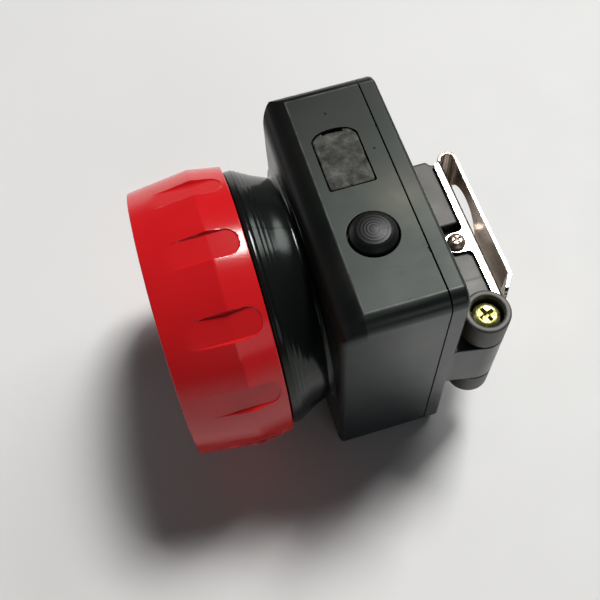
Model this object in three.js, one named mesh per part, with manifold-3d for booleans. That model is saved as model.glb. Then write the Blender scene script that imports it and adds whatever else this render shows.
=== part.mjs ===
// Miner's cap lamp, cordless type, lying on its side.
// Millimetres, +Z up. The lens looks along -Y, the steel helmet clip is at +Y,
// the hinge of the clip seat is at +X and the push button points up, along +Z.
// The design is drawn about the lens axis (x = 0, z = 0, y = 0 at the front of the
// bezel) and the whole group is then set down on z = 0, centred in plan.

import * as THREE from 'three';
import { mergeVertices } from 'three/addons/utils/BufferGeometryUtils.js';
import Module from 'manifold-3d';

const wasm = await Module();
wasm.setup();

// ---------------------------------------------------------------- dimensions
const BEZEL_R_FRONT = 30.2;   // outer radius at the front rim
const BEZEL_R_CREASE = 32.0;  // largest radius, at the crease
const BEZEL_R_REAR = 30.8;    // outer radius at the rear rim
const BEZEL_Y_CREASE = 13.8;
const BEZEL_Y_REAR = 21.0;
const BEZEL_LIP_R = 26.0;     // clear opening of the bezel
const THREAD_R = 29.2;        // inside of the bezel's thread
const FLUTES = 12;            // finger flutes round the bezel
const FLUTE_W = 5.9;
const FLUTE_FLOOR_R = 30.8;
const FLUTE_PHASE = 25;       // degrees, first flute from +X towards +Z

const LENS_R = 28.0;
const LENS_Y0 = 1.9, LENS_Y1 = 4.4;

const NECK_R = 28.8;          // threaded neck of the front housing
const COLLAR_R = 29.4;        // stop collar behind the bezel
const NECK_MIN_R = 25.3;      // where the cone meets the case

const CASE_HX = 29.4;         // half length of the case, along X
const CASE_HZ = 32.0;         // half width of the case, along Z
const CASE_Y0 = 32.0;         // front of the case
const CASE_Y1 = 53.7;         // rear edge of the front housing
const COVER_Y0 = 53.9, COVER_Y1 = 57.7;
const EDGE_R = 3.3;           // rounding of the long edges
const FRONT_EDGE_R = 5.5;     // large rounding at the front, button side and under side
const WALL = 2.2;

const BUTTON_X = 10.3, BUTTON_Y = 44.7, BUTTON_R = 4.85;
const PORT_X0 = -16.5, PORT_X1 = -1.4, PORT_Y0 = 39.6, PORT_Y1 = 49.6;
const PORT_X = -9.0, PORT_Y = 44.6;

const HINGE_X = 25.65, HINGE_Y = 64.6, KNUCKLE_R = 4.9;
const KNUCKLE_IN = 8.3, KNUCKLE_OUT = 16.0, WEB_HALF = 8.0;
const PIN_R = 1.5, PIN_BORE_R = 1.58;

const SEAT_X0 = -16.7, SEAT_X1 = 20.0, SEAT_Y0 = 58.5, SEAT_Y1 = 69.6, SEAT_HZ = 11.0;
const CLIP_HZ = 12.0, CLIP_T = 0.8;
const PLATE_Y0 = 69.9, PLATE_Y1 = 70.7, PLATE_X0 = -14.8, PLATE_X1 = 22.0;
const CURL_X = -14.8, CURL_Y = 72.15, CURL_RO = 2.25;
const BLADE_Y0 = 73.6, BLADE_Y1 = 74.4;
const BLADE_HOLE_X = -6.1, BLADE_HOLE_R = 7.9;
const LUG_X = 6.5, LUG_Y = 65.8, LUG_R = 2.45;

const POSTS = [[24, 26.5], [-24, 26.5], [-24, -26.5], [24, -26.5]];

// where the design frame sits in the part frame
const REST_Z = 32.0;          // the lens axis is this high above the surface
const MID_Y = 37.2;           // middle of the overall length

// ---------------------------------------------------------------- helpers
function signedVolume(pos, idx) {
  let v = 0;
  for (let i = 0; i < idx.length; i += 3) {
    const a = idx[i] * 3, b = idx[i + 1] * 3, c = idx[i + 2] * 3;
    v += pos[a] * (pos[b + 1] * pos[c + 2] - pos[b + 2] * pos[c + 1])
       - pos[a + 1] * (pos[b] * pos[c + 2] - pos[b + 2] * pos[c])
       + pos[a + 2] * (pos[b] * pos[c + 1] - pos[b + 1] * pos[c]);
  }
  return v / 6;
}

function solid(geometry) {
  let g = geometry.clone();
  for (const name of Object.keys(g.attributes)) if (name !== 'position') g.deleteAttribute(name);
  g = mergeVertices(g, 1e-4);
  const pos = Float32Array.from(g.attributes.position.array);
  const raw = Array.from(g.index.array);
  const idx = [];
  for (let i = 0; i < raw.length; i += 3) {
    const [a, b, c] = [raw[i], raw[i + 1], raw[i + 2]];
    if (a !== b && b !== c && a !== c) idx.push(a, b, c);
  }
  if (signedVolume(pos, idx) < 0) for (let i = 0; i < idx.length; i += 3) [idx[i], idx[i + 1]] = [idx[i + 1], idx[i]];
  return new wasm.Manifold(new wasm.Mesh({ numProp: 3, vertProperties: pos, triVerts: Uint32Array.from(idx) }));
}

function toGeometry(m) {
  const mesh = m.getMesh();
  const g = new THREE.BufferGeometry();
  const n = mesh.numProp, pos = [];
  for (let i = 0; i < mesh.vertProperties.length; i += n) {
    pos.push(mesh.vertProperties[i], mesh.vertProperties[i + 1], mesh.vertProperties[i + 2]);
  }
  g.setAttribute('position', new THREE.Float32BufferAttribute(pos, 3));
  g.setIndex(Array.from(mesh.triVerts));
  g.computeVertexNormals();
  return g;
}

const union = (a, ...rest) => rest.reduce((s, b) => s.add(b), a);
const cut = (a, ...rest) => rest.reduce((s, b) => s.subtract(b), a);

function box(x0, x1, y0, y1, z0, z1) {
  const g = new THREE.BoxGeometry(x1 - x0, y1 - y0, z1 - z0);
  g.translate((x0 + x1) / 2, (y0 + y1) / 2, (z0 + z1) / 2);
  return solid(g);
}

// turned about the Y axis, profile as [radius, y]
function turnY(profile, segments = 60, x = 0, z = 0) {
  const pts = profile.map(([r, y]) => new THREE.Vector2(Math.max(r, 0), y));
  const onAxis = profile[0][0] < 1e-6 && profile[profile.length - 1][0] < 1e-6;
  if (!onAxis) pts.push(pts[0].clone());
  const g = new THREE.LatheGeometry(pts, segments);
  g.translate(x, 0, z);
  return solid(g);
}

// turned about a line parallel to Z through (x, y), profile as [radius, z]
function turnZ(profile, segments, x, y) {
  const pts = profile.map(([r, z]) => new THREE.Vector2(Math.max(r, 0), z));
  const onAxis = profile[0][0] < 1e-6 && profile[profile.length - 1][0] < 1e-6;
  if (!onAxis) pts.push(pts[0].clone());
  const g = new THREE.LatheGeometry(pts, segments);
  g.rotateX(Math.PI / 2);
  g.translate(x, y, 0);
  return solid(g);
}

const rodZ = (x, y, r, z0, z1, n = 32) => turnZ([[0, z0], [r, z0], [r, z1], [0, z1]], n, x, y);
const rodY = (x, z, r, y0, y1, n = 32) => turnY([[0, y0], [r, y0], [r, y1], [0, y1]], n, x, z);

function extrude(shape, depth, curve = 6) {
  return new THREE.ExtrudeGeometry(shape, { depth, bevelEnabled: false, curveSegments: curve, steps: 1 });
}
// outline in X,Y pulled along Z
function pullZ(shape, z0, z1, curve) {
  const g = extrude(shape, z1 - z0, curve);
  g.translate(0, 0, z0);
  return solid(g);
}
// outline in X,Z pulled along Y
function pullY(shape, y0, y1, curve) {
  const g = extrude(shape, y1 - y0, curve);
  g.applyMatrix4(new THREE.Matrix4().makeBasis(new THREE.Vector3(1, 0, 0), new THREE.Vector3(0, 0, 1), new THREE.Vector3(0, -1, 0)));
  g.translate(0, y1, 0);
  return solid(g);
}
// outline in Y,Z pulled along X
function pullX(shape, x0, x1, curve) {
  const g = extrude(shape, x1 - x0, curve);
  g.applyMatrix4(new THREE.Matrix4().makeBasis(new THREE.Vector3(0, 1, 0), new THREE.Vector3(0, 0, 1), new THREE.Vector3(1, 0, 0)));
  g.translate(x0, 0, 0);
  return solid(g);
}

function roundRect(u0, u1, v0, v1, r) {
  const s = new THREE.Shape();
  s.moveTo(u0 + r, v0);
  s.lineTo(u1 - r, v0);
  s.absarc(u1 - r, v0 + r, r, -Math.PI / 2, 0, false);
  s.lineTo(u1, v1 - r);
  s.absarc(u1 - r, v1 - r, r, 0, Math.PI / 2, false);
  s.lineTo(u0 + r, v1);
  s.absarc(u0 + r, v1 - r, r, Math.PI / 2, Math.PI, false);
  s.lineTo(u0, v0 + r);
  s.absarc(u0 + r, v0 + r, r, Math.PI, Math.PI * 1.5, false);
  return s;
}
function polygon(points) {
  const s = new THREE.Shape();
  points.forEach(([x, y], i) => (i ? s.lineTo(x, y) : s.moveTo(x, y)));
  return s;
}

// a round wire along a smooth path
function wire(points, r) {
  const path = new THREE.CatmullRomCurve3(points.map((p) => new THREE.Vector3(...p)), false, 'centripetal');
  const s = new THREE.Shape();
  s.absarc(0, 0, r, 0, Math.PI * 2, false);
  return solid(new THREE.ExtrudeGeometry(s, { extrudePath: path, steps: 10, bevelEnabled: false, curveSegments: 3 }));
}

// cross recess for a Phillips head, opening along +Z at height z
function crossZ(x, y, z, w, l, d) {
  return union(box(x - l, x + l, y - w, y + w, z - d, z + 1), box(x - w, x + w, y - l, y + l, z - d, z + 1));
}
// the same, opening along +Y
function crossY(x, z, y, w, l, d) {
  return union(box(x - l, x + l, y - d, y + 1, z - w, z + w), box(x - w, x + w, y - d, y + 1, z - l, z + l));
}

// ---------------------------------------------------------------- materials
const mats = {
  red: () => new THREE.MeshStandardMaterial({ color: 0xd2232a, roughness: 0.22, metalness: 0 }),
  clear: () => new THREE.MeshStandardMaterial({ color: 0xe8f0f2, roughness: 0.05, metalness: 0, transparent: true, opacity: 0.35 }),
  black: () => new THREE.MeshStandardMaterial({ color: 0x1b1e1e, roughness: 0.32, metalness: 0 }),
  rubber: () => new THREE.MeshStandardMaterial({ color: 0x17191a, roughness: 0.8, metalness: 0 }),
  silver: () => new THREE.MeshStandardMaterial({ color: 0xe4e6e8, roughness: 0.08, metalness: 1 }),
  steel: () => new THREE.MeshStandardMaterial({ color: 0xc9ccce, roughness: 0.22, metalness: 1 }),
  zinc: () => new THREE.MeshStandardMaterial({ color: 0xcdbb6a, roughness: 0.35, metalness: 1 }),
  alu: () => new THREE.MeshStandardMaterial({ color: 0xb4b8bb, roughness: 0.4, metalness: 1 }),
  pcb: () => new THREE.MeshStandardMaterial({ color: 0x0d5a38, roughness: 0.45, metalness: 0 }),
  white: () => new THREE.MeshStandardMaterial({ color: 0xf0efe9, roughness: 0.5, metalness: 0 }),
  yellow: () => new THREE.MeshStandardMaterial({ color: 0xe9c93a, roughness: 0.3, metalness: 0 }),
  blue: () => new THREE.MeshStandardMaterial({ color: 0x2b62a8, roughness: 0.4, metalness: 0 }),
  foam: () => new THREE.MeshStandardMaterial({ color: 0x3a3b3c, roughness: 0.95, metalness: 0 }),
  wireRed: () => new THREE.MeshStandardMaterial({ color: 0xb3181e, roughness: 0.5, metalness: 0 }),
};

const lamp = new THREE.Group();
function add(name, body, material) {
  const mesh = new THREE.Mesh(toGeometry(body), mats[material]());
  mesh.name = name;
  lamp.add(mesh);
}

// ---------------------------------------------------------------- bezel, lens, seal
let bezel = turnY([
  [BEZEL_LIP_R, 0.6], [BEZEL_LIP_R + 0.6, 0], [BEZEL_R_FRONT - 0.4, 0], [BEZEL_R_FRONT, 0.4],
  [BEZEL_R_CREASE, BEZEL_Y_CREASE], [BEZEL_R_REAR, BEZEL_Y_REAR],
  [THREAD_R, BEZEL_Y_REAR], [THREAD_R, 6.0], [LENS_R + 0.3, 6.0], [LENS_R + 0.3, 1.6], [BEZEL_LIP_R, 1.6],
], 48);
for (let i = 0; i < FLUTES; i++) {
  // bullet outline: square at the front, round at the rear
  const s = new THREE.Shape();
  const w = FLUTE_W / 2, yEnd = 19.3;
  s.moveTo(-w, -4);
  s.lineTo(w, -4);
  s.lineTo(w, yEnd - w);
  s.absarc(0, yEnd - w, w, 0, Math.PI, false);
  const g = extrude(s, 4, 3);
  // local x -> tangent, local y -> Y, local z -> outward
  const a = THREE.MathUtils.degToRad(FLUTE_PHASE + 30 * i);
  const out = new THREE.Vector3(Math.cos(a), 0, Math.sin(a));
  const y = new THREE.Vector3(0, 1, 0);
  const t = new THREE.Vector3().crossVectors(y, out);
  g.translate(0, 0, FLUTE_FLOOR_R);
  g.applyMatrix4(new THREE.Matrix4().makeBasis(t, y, out));
  bezel = cut(bezel, solid(g));
}
add('bezel_ring', bezel, 'red');

add('lens', turnY([[0, LENS_Y0], [LENS_R - 0.5, LENS_Y0], [LENS_R, LENS_Y0 + 0.5], [LENS_R, LENS_Y1], [0, LENS_Y1]], 40), 'clear');

const ring = [];
for (let i = 0; i < 6; i++) {
  const a = (i / 6) * Math.PI * 2;
  ring.push([27.0 + 0.9 * Math.cos(a), 5.6 + 0.9 * Math.sin(a)]);
}
add('lens_oring', turnY(ring, 32), 'rubber');

// ---------------------------------------------------------------- reflector and light source
const inner = [], outer = [];
for (let i = 0; i <= 6; i++) {
  const r = 3.6 + (23.8 - 3.6) * (i / 6);
  inner.push([r, 25.0 - (r * r) / 33.4]);
}
for (let i = 6; i >= 0; i--) {
  const r = 4.6 + (24.6 - 4.6) * (i / 6);
  outer.push([r, 25.9 - (r * r) / 33.4 > 24.7 ? 24.7 : 25.9 - (r * r) / 33.4]);
}
add('reflector', turnY([...inner, [23.8, 7.4], [25.7, 7.4], [25.7, 8.7], [24.6, 8.7], ...outer.slice(1), [3.6, 24.7]], 32), 'silver');

add('main_led', union(box(-2.5, 2.5, 24.9, 25.5, -2.5, 2.5),
  turnY([[0, 23.0], [0.7, 23.15], [1.25, 23.6], [1.5, 24.3], [1.5, 25.2], [0, 25.2]], 14)), 'yellow');
add('led_board', cut(rodY(0, 0, 10, 25.6, 27.1, 28), rodY(0, 10.6, 1.6, 25, 28, 10), rodY(0, -10.6, 1.6, 25, 28, 10)), 'white');
add('heat_sink', cut(turnY([[0, 27.2], [18, 27.2], [18, 28.4], [20.5, 28.4], [20.5, 30.4], [0, 30.4]], 32),
  rodY(12.5, 0, 1.6, 26, 31.5, 10), rodY(-12.5, 0, 1.6, 26, 31.5, 10)), 'alu');

// ---------------------------------------------------------------- front housing
function caseSection(grow = 0) {
  return roundRect(-CASE_HX + grow, CASE_HX - grow, -CASE_HZ + grow, CASE_HZ - grow, Math.max(EDGE_R - grow, 0.6));
}
const caseBlock = pullY(caseSection(), CASE_Y0, CASE_Y1, 4);
// side profile with the large front rounding (Y,Z outline)
const side = new THREE.Shape();
side.moveTo(CASE_Y0, -CASE_HZ + FRONT_EDGE_R);
side.absarc(CASE_Y0 + FRONT_EDGE_R, -CASE_HZ + FRONT_EDGE_R, FRONT_EDGE_R, Math.PI, Math.PI * 1.5, false);
side.lineTo(CASE_Y1 + 1, -CASE_HZ);
side.lineTo(CASE_Y1 + 1, CASE_HZ);
side.lineTo(CASE_Y0 + FRONT_EDGE_R, CASE_HZ);
side.absarc(CASE_Y0 + FRONT_EDGE_R, CASE_HZ - FRONT_EDGE_R, FRONT_EDGE_R, Math.PI / 2, Math.PI, false);
const sideProfile = pullX(side, -CASE_HX - 1, CASE_HX + 1, 4);
// end profile: large front rounding away from the hinge, small chamfer at the hinge end (X,Y outline)
const endProfile = pullZ(polygon([
  [-CASE_HX + 5.0, CASE_Y0], [CASE_HX - 1.8, CASE_Y0], [CASE_HX - 0.5, CASE_Y0 + 0.5], [CASE_HX, CASE_Y0 + 1.8], [CASE_HX, CASE_Y1 + 1],
  [-CASE_HX, CASE_Y1 + 1], [-CASE_HX, CASE_Y0 + 5.0], [-CASE_HX + 0.38, CASE_Y0 + 3.1], [-CASE_HX + 1.46, CASE_Y0 + 1.46], [-CASE_HX + 3.1, CASE_Y0 + 0.38],
]), -CASE_HZ - 1, CASE_HZ + 1);
let housing = caseBlock.intersect(sideProfile).intersect(endProfile);
housing = union(housing, turnY([
  [0, 6.8], [NECK_R - 0.4, 6.8], [NECK_R, 7.2], [NECK_R, 20.8], [COLLAR_R, 21.4], [COLLAR_R, 23.3], [27.2, 27.3], [NECK_MIN_R, 31.2], [25.5, 31.8], [26.2, 32.4], [26.2, 36], [0, 36],
], 48));
housing = cut(housing,
  turnY([[0, 5], [26.0, 5], [26.0, 9.0], [25.2, 9.0], [25.2, 21.0], [23.2, 30.5], [23.2, 36.5], [0, 36.5]], 36),
  pullY(roundRect(-CASE_HX + WALL, CASE_HX - WALL, -CASE_HZ + WALL, CASE_HZ - WALL, 1.2), 34.8, CASE_Y1 + 1, 2));
for (const [x, z] of POSTS) {
  let post = rodY(x, z, 3.6, 34.0, 53.3, 12);
  post = union(post, box(Math.min(x, Math.sign(x) * 28), Math.max(x, Math.sign(x) * 28), 34.0, 53.3, z - 1, z + 1),
    box(x - 1, x + 1, 34.0, 53.3, Math.min(z, Math.sign(z) * 30.6), Math.max(z, Math.sign(z) * 30.6)));
  housing = union(housing, post.intersect(caseBlock));
}
for (const [x, z] of POSTS) housing = cut(housing, rodY(x, z, 1.25, 44.0, 54.5, 10));
// seal groove in the rear rim
housing = cut(housing, cut(
  pullY(roundRect(-28.75, 28.75, -31.35, 31.35, 2.6), 52.8, CASE_Y1 + 1, 3),
  pullY(roundRect(-27.8, 27.8, -30.4, 30.4, 1.7), 52.7, CASE_Y1 + 1.1, 3)));
// button hole, cover recess and charging slot
function portShape(gap) {
  const s = new THREE.Shape();
  const x0 = PORT_X0 + 2.4, x1 = PORT_X1 - gap, y0 = PORT_Y0 + gap, y1 = PORT_Y1 - gap;
  s.moveTo(x1, y0);
  s.lineTo(x1, y1);
  s.lineTo(x0, y1);
  s.quadraticCurveTo(PORT_X0 + gap, y1 - 0.9, PORT_X0 + gap, (y0 + y1) / 2);
  s.quadraticCurveTo(PORT_X0 + gap, y0 + 0.9, x0, y0);
  return s;
}
housing = cut(housing,
  rodZ(BUTTON_X, BUTTON_Y, 5.2, 28, 33, 28),
  pullZ(portShape(0), 30.5, 33, 4),
  box(PORT_X - 4.2, PORT_X + 4.2, PORT_Y - 1.8, PORT_Y + 1.8, 28, 31));
add('front_housing', housing, 'black');

add('housing_gasket', cut(
  pullY(roundRect(-28.6, 28.6, -31.2, 31.2, 2.45), 52.95, 53.8, 3),
  pullY(roundRect(-27.95, 27.95, -30.55, 30.55, 1.85), 52.5, 54.2, 3)), 'rubber');

// ---------------------------------------------------------------- rear cover with the fixed knuckle
let cover = pullY(caseSection(), COVER_Y0, COVER_Y1, 4);
cover = cover.intersect(pullX(polygon([[COVER_Y0 - 1, -CASE_HZ], [COVER_Y1 - 0.8, -CASE_HZ], [COVER_Y1, -CASE_HZ + 0.8], [COVER_Y1, CASE_HZ - 0.8], [COVER_Y1 - 0.8, CASE_HZ], [COVER_Y0 - 1, CASE_HZ]]), -CASE_HX - 1, CASE_HX + 1));
cover = cover.intersect(pullZ(polygon([[-CASE_HX, COVER_Y0 - 1], [CASE_HX, COVER_Y0 - 1], [CASE_HX, COVER_Y1 - 0.8], [CASE_HX - 0.8, COVER_Y1], [-CASE_HX + 0.8, COVER_Y1], [-CASE_HX, COVER_Y1 - 0.8]]), -CASE_HZ - 1, CASE_HZ + 1));
cover = cut(cover, pullY(roundRect(-27.0, 27.0, -29.6, 29.6, 1.2), COVER_Y0 - 1, 55.5, 2));
for (const [x, z] of POSTS) {
  cover = union(cover, rodY(x, z, 3.6, COVER_Y0, 56.4, 12).intersect(pullY(caseSection(), COVER_Y0, COVER_Y1, 4)));
  cover = cut(cover, rodY(x, z, 1.3, 53, 58, 10), rodY(x, z, 2.6, 56.0, 58.5, 16));
}
// web from the cover to the knuckle, flush with the case end
let web = pullZ(polygon([[18.8, 56.5], [28.6, 56.5], [28.6, 57.4], [29.4, 57.4], [30.4, 63.4], [25.65, 64.6], [22.0, 61.2]]), -WEB_HALF, WEB_HALF);
web = union(web, rodZ(HINGE_X, HINGE_Y, KNUCKLE_R, -WEB_HALF, WEB_HALF, 28));
cover = union(cover, web);
cover = cut(cover, rodZ(HINGE_X, HINGE_Y, PIN_BORE_R, -WEB_HALF - 1, WEB_HALF + 1, 24));
add('rear_cover', cover, 'black');

POSTS.forEach(([x, z], i) => {
  const s = union(turnY([[0, 56.2], [2.25, 56.2], [2.25, 57.0], [1.7, 57.5], [0, 57.6]], 12, x, z), rodY(x, z, 1.1, 46.0, 56.6, 8));
  add(`cover_screw_${i + 1}`, cut(s, crossY(x, z, 57.6, 0.28, 1.2, 0.9)), 'steel');
});

// ---------------------------------------------------------------- button and switch
let button = turnZ([
  [0, 23.7], [1.6, 23.7], [1.6, 27.6], [6.2, 27.6], [6.2, 28.6], [BUTTON_R, 28.6], [BUTTON_R, 32.5],
  [3.9, 33.3], [3.6, 33.1], [3.2, 33.2], [2.9, 33.8], [1.5, 34.0], [0, 34.0],
], 28, BUTTON_X, BUTTON_Y);
add('push_button', button, 'black');
add('button_seal', turnZ([[5.35, 28.75], [6.4, 28.75], [6.4, 29.4], [5.35, 29.4]], 24, BUTTON_X, BUTTON_Y), 'rubber');

add('switch_plunger', rodZ(BUTTON_X, BUTTON_Y, 1.6, 20.8, 23.5, 14), 'white');
add('switch_body', cut(box(BUTTON_X - 3, BUTTON_X + 3, BUTTON_Y - 3, BUTTON_Y + 3, 18.8, 22.2), rodZ(BUTTON_X, BUTTON_Y, 1.9, 19.7, 23, 14)), 'alu');
add('main_pcb', box(-23.5, 23.5, 36.5, 52.3, 17.0, 18.6), 'pcb');

// micro-USB charging socket standing on the board, mouth towards the slot
add('usb_socket', cut(box(PORT_X - 3.9, PORT_X + 3.9, PORT_Y - 1.5, PORT_Y + 1.5, 18.8, 29.6),
  box(PORT_X - 3.5, PORT_X + 3.5, PORT_Y - 1.1, PORT_Y + 1.1, 23.6, 30.5)), 'steel');
add('usb_tongue', box(PORT_X - 2.6, PORT_X + 2.6, PORT_Y - 0.45, PORT_Y + 0.25, 23.7, 28.6), 'black');

// rubber cover of the charging socket, hinged along its straight edge
let flap = pullZ(portShape(0.25), 30.7, 32.0, 4);
flap = union(flap, box(PORT_X - 3.7, PORT_X + 3.4, PORT_Y - 1.3, PORT_Y + 1.3, 29.75, 30.8));
flap = cut(flap, box(PORT_X0 - 1, PORT_X0 + 1.0, PORT_Y - 2.2, PORT_Y + 2.2, 31.3, 33));
add('port_cover', flap, 'rubber');

// ---------------------------------------------------------------- battery
add('battery_cell', pullY(roundRect(-25, 25, -22, 12, 2.5), 43.0, 53.0, 3), 'blue');
add('battery_foam', box(-24, 24, 40.8, 42.8, -21, 11), 'foam');
add('battery_pcm', box(-14, 14, 45.0, 51.0, 12.2, 13.2), 'pcb');

add('led_wire_red', wire([[12.5, 38.0, 16.7], [12.5, 37.4, 13.5], [12.5, 35.0, 8.0], [12.5, 32.6, 2.0], [12.5, 30.4, 0], [12.5, 27.4, 0], [11.8, 25.2, 0], [10.2, 24.6, 0], [8.6, 24.75, 0]], 0.7), 'wireRed');
add('led_wire_black', wire([[-12.5, 38.0, 16.7], [-12.5, 37.4, 13.5], [-12.5, 35.0, 8.0], [-12.5, 32.6, 2.0], [-12.5, 30.4, 0], [-12.5, 27.4, 0], [-11.8, 25.2, 0], [-10.2, 24.6, 0], [-8.6, 24.75, 0]], 0.7), 'rubber');
add('battery_wire_red', wire([[-10, 46.4, 13.5], [-10.3, 46.0, 14.6], [-10.3, 46.0, 15.6], [-10, 46.4, 16.7]], 0.7), 'wireRed');
add('battery_wire_black', wire([[10, 46.4, 13.5], [10.3, 46.0, 14.6], [10.3, 46.0, 15.6], [10, 46.4, 16.7]], 0.7), 'rubber');

// ---------------------------------------------------------------- clip seat, hinged on the cover
let seat = pullZ((() => {
  const s = new THREE.Shape();
  s.moveTo(SEAT_X0, SEAT_Y0 + 1.0);
  s.lineTo(SEAT_X0 + 1.0, SEAT_Y0);
  s.lineTo(17.6, SEAT_Y0);
  s.lineTo(SEAT_X1, 62.6);
  s.lineTo(SEAT_X1, SEAT_Y1);
  s.lineTo(SEAT_X0 + 1.6, SEAT_Y1);
  s.lineTo(SEAT_X0 + 1.6, SEAT_Y1 - 1.4);
  s.lineTo(SEAT_X0 + 0.4, SEAT_Y1 - 2.0);
  s.lineTo(SEAT_X0, SEAT_Y1 - 3.0);
  return s;
})(), -SEAT_HZ, SEAT_HZ);
for (const sgn of [1, -1]) {
  const z0 = sgn > 0 ? KNUCKLE_IN : -SEAT_HZ, z1 = sgn > 0 ? SEAT_HZ : -KNUCKLE_IN;
  seat = union(seat, pullZ(polygon([[17.6, SEAT_Y0], [21.2, 61.6], [25.65, 60.4], [25.65, 69.4], [22.0, SEAT_Y1], [19.0, SEAT_Y1]]), z0, z1));
  const b0 = sgn > 0 ? KNUCKLE_IN : -KNUCKLE_OUT, b1 = sgn > 0 ? KNUCKLE_OUT : -KNUCKLE_IN;
  seat = union(seat, rodZ(HINGE_X, HINGE_Y, KNUCKLE_R, b0, b1, 28));
}
// relief for the fixed knuckle and for its web
seat = cut(seat, rodZ(HINGE_X, HINGE_Y, KNUCKLE_R + 0.5, -KNUCKLE_IN, KNUCKLE_IN, 28));
// pin bore, counterbore for the screw head, hexagon pocket for the nut
seat = cut(seat, rodZ(HINGE_X, HINGE_Y, PIN_BORE_R, -18, 18, 24), rodZ(HINGE_X, HINGE_Y, 3.5, 12.2, 17, 24),
  rodZ(HINGE_X, HINGE_Y, 3.3, -17, -13.1, 6));
// side notches beside the clip lugs, and holes for the clip screws
for (const sgn of [1, -1]) {
  const a = sgn > 0 ? 8.4 : -12, b = sgn > 0 ? 12 : -8.4;
  seat = cut(seat, box(1.2, 3.2, 61.0, 70, a, b));
  seat = cut(seat, rodZ(LUG_X, LUG_Y, 1.3, sgn > 0 ? 5.2 : -12, sgn > 0 ? 12 : -5.2, 10));
}
// three coring slots on the cover side, with ribs between them
for (const x of [-14.6, -9.2, -3.8]) seat = cut(seat, box(x, x + 4.2, SEAT_Y0 - 1, 67.4, -8.0, 8.0));
add('hook_seat', seat, 'black');

// ---------------------------------------------------------------- steel clip
let plate = box(PLATE_X0, PLATE_X1, PLATE_Y0, PLATE_Y1, -CLIP_HZ, CLIP_HZ);
for (const sgn of [1, -1]) {
  const a = sgn > 0 ? CLIP_HZ - CLIP_T : -CLIP_HZ, b = sgn > 0 ? CLIP_HZ : -CLIP_HZ + CLIP_T;
  let fl = pullZ(polygon([[PLATE_X0, 68.6], [3.2, 68.6], [3.9, 67.8], [LUG_X - LUG_R, LUG_Y], [LUG_X + LUG_R, LUG_Y], [9.1, 67.8], [9.8, 68.5], [21.0, 68.6], [PLATE_X1, 70.0], [PLATE_X1, PLATE_Y1], [PLATE_X0, PLATE_Y1]]), a, b);
  fl = union(fl, rodZ(LUG_X, LUG_Y, LUG_R, a, b, 18));
  fl = cut(fl, rodZ(LUG_X, LUG_Y, 1.35, a - 1, b + 1, 12));
  plate = union(plate, fl);
}
add('clip_plate', plate, 'steel');

const strip = [];
for (let i = 0; i <= 10; i++) {
  const a = Math.PI * 1.5 - (i / 10) * Math.PI;
  strip.push([CURL_X - 0.3 + CURL_RO * Math.cos(a), CURL_Y + CURL_RO * Math.sin(a)]);
}
strip.push([16.7, BLADE_Y1], [17.4, 74.1], [21.5, 71.5], [21.05, 70.95], [16.9, 73.5], [16.5, BLADE_Y0]);
for (let i = 10; i >= 0; i--) {
  const a = Math.PI * 1.5 - (i / 10) * Math.PI;
  strip.push([CURL_X - 0.3 + (CURL_RO - CLIP_T) * Math.cos(a), CURL_Y + (CURL_RO - CLIP_T) * Math.sin(a)]);
}
let blade = pullZ(polygon(strip), -CLIP_HZ, CLIP_HZ);
blade = cut(blade, rodY(BLADE_HOLE_X, 0, BLADE_HOLE_R, 73, 75.5, 28));
// rounded free corners of the blade
blade = blade.intersect(pullY(roundRect(-30, 21.6, -CLIP_HZ, CLIP_HZ, 2.2), 60, 80, 4));
add('clip_blade', blade, 'steel');

for (const [name, sgn] of [['clip_screw_near', 1], ['clip_screw_far', -1]]) {
  let s = union(turnZ([[0, 12.15], [2.05, 12.15], [2.05, 12.9], [1.5, 13.4], [0, 13.5]], 14, LUG_X, LUG_Y), rodZ(LUG_X, LUG_Y, 1.15, 6.0, 12.6, 8));
  s = cut(s, crossZ(LUG_X, LUG_Y, 13.5, 0.28, 1.15, 0.8));
  if (sgn < 0) s = s.mirror([0, 0, 1]);
  add(name, s, 'steel');
}

// ---------------------------------------------------------------- hinge screw, washer, nut
let pin = union(turnZ([[0, 13.0], [2.8, 13.0], [2.8, 13.7], [2.2, 14.5], [1.2, 14.8], [0, 14.8]], 20, HINGE_X, HINGE_Y),
  rodZ(HINGE_X, HINGE_Y, PIN_R, -15.6, 13.5, 24));
pin = cut(pin, crossZ(HINGE_X, HINGE_Y, 14.8, 0.35, 1.6, 1.0));
add('hinge_screw', pin, 'zinc');
add('hinge_washer', turnZ([[1.7, 12.3], [3.1, 12.3], [3.1, 12.85], [1.7, 12.85]], 20, HINGE_X, HINGE_Y), 'steel');
add('hinge_nut', cut(rodZ(HINGE_X, HINGE_Y, 3.1, -15.5, -13.2, 6), rodZ(HINGE_X, HINGE_Y, PIN_R + 0.08, -17, -12, 24)), 'zinc');

// ---------------------------------------------------------------- placing
lamp.position.set(0, -MID_Y, REST_Z);
const part = new THREE.Group();
part.add(lamp);

export default part;
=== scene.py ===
import math

import bpy
import bmesh
import numpy as np
import openvdb
from mathutils import Matrix, Vector


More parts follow.
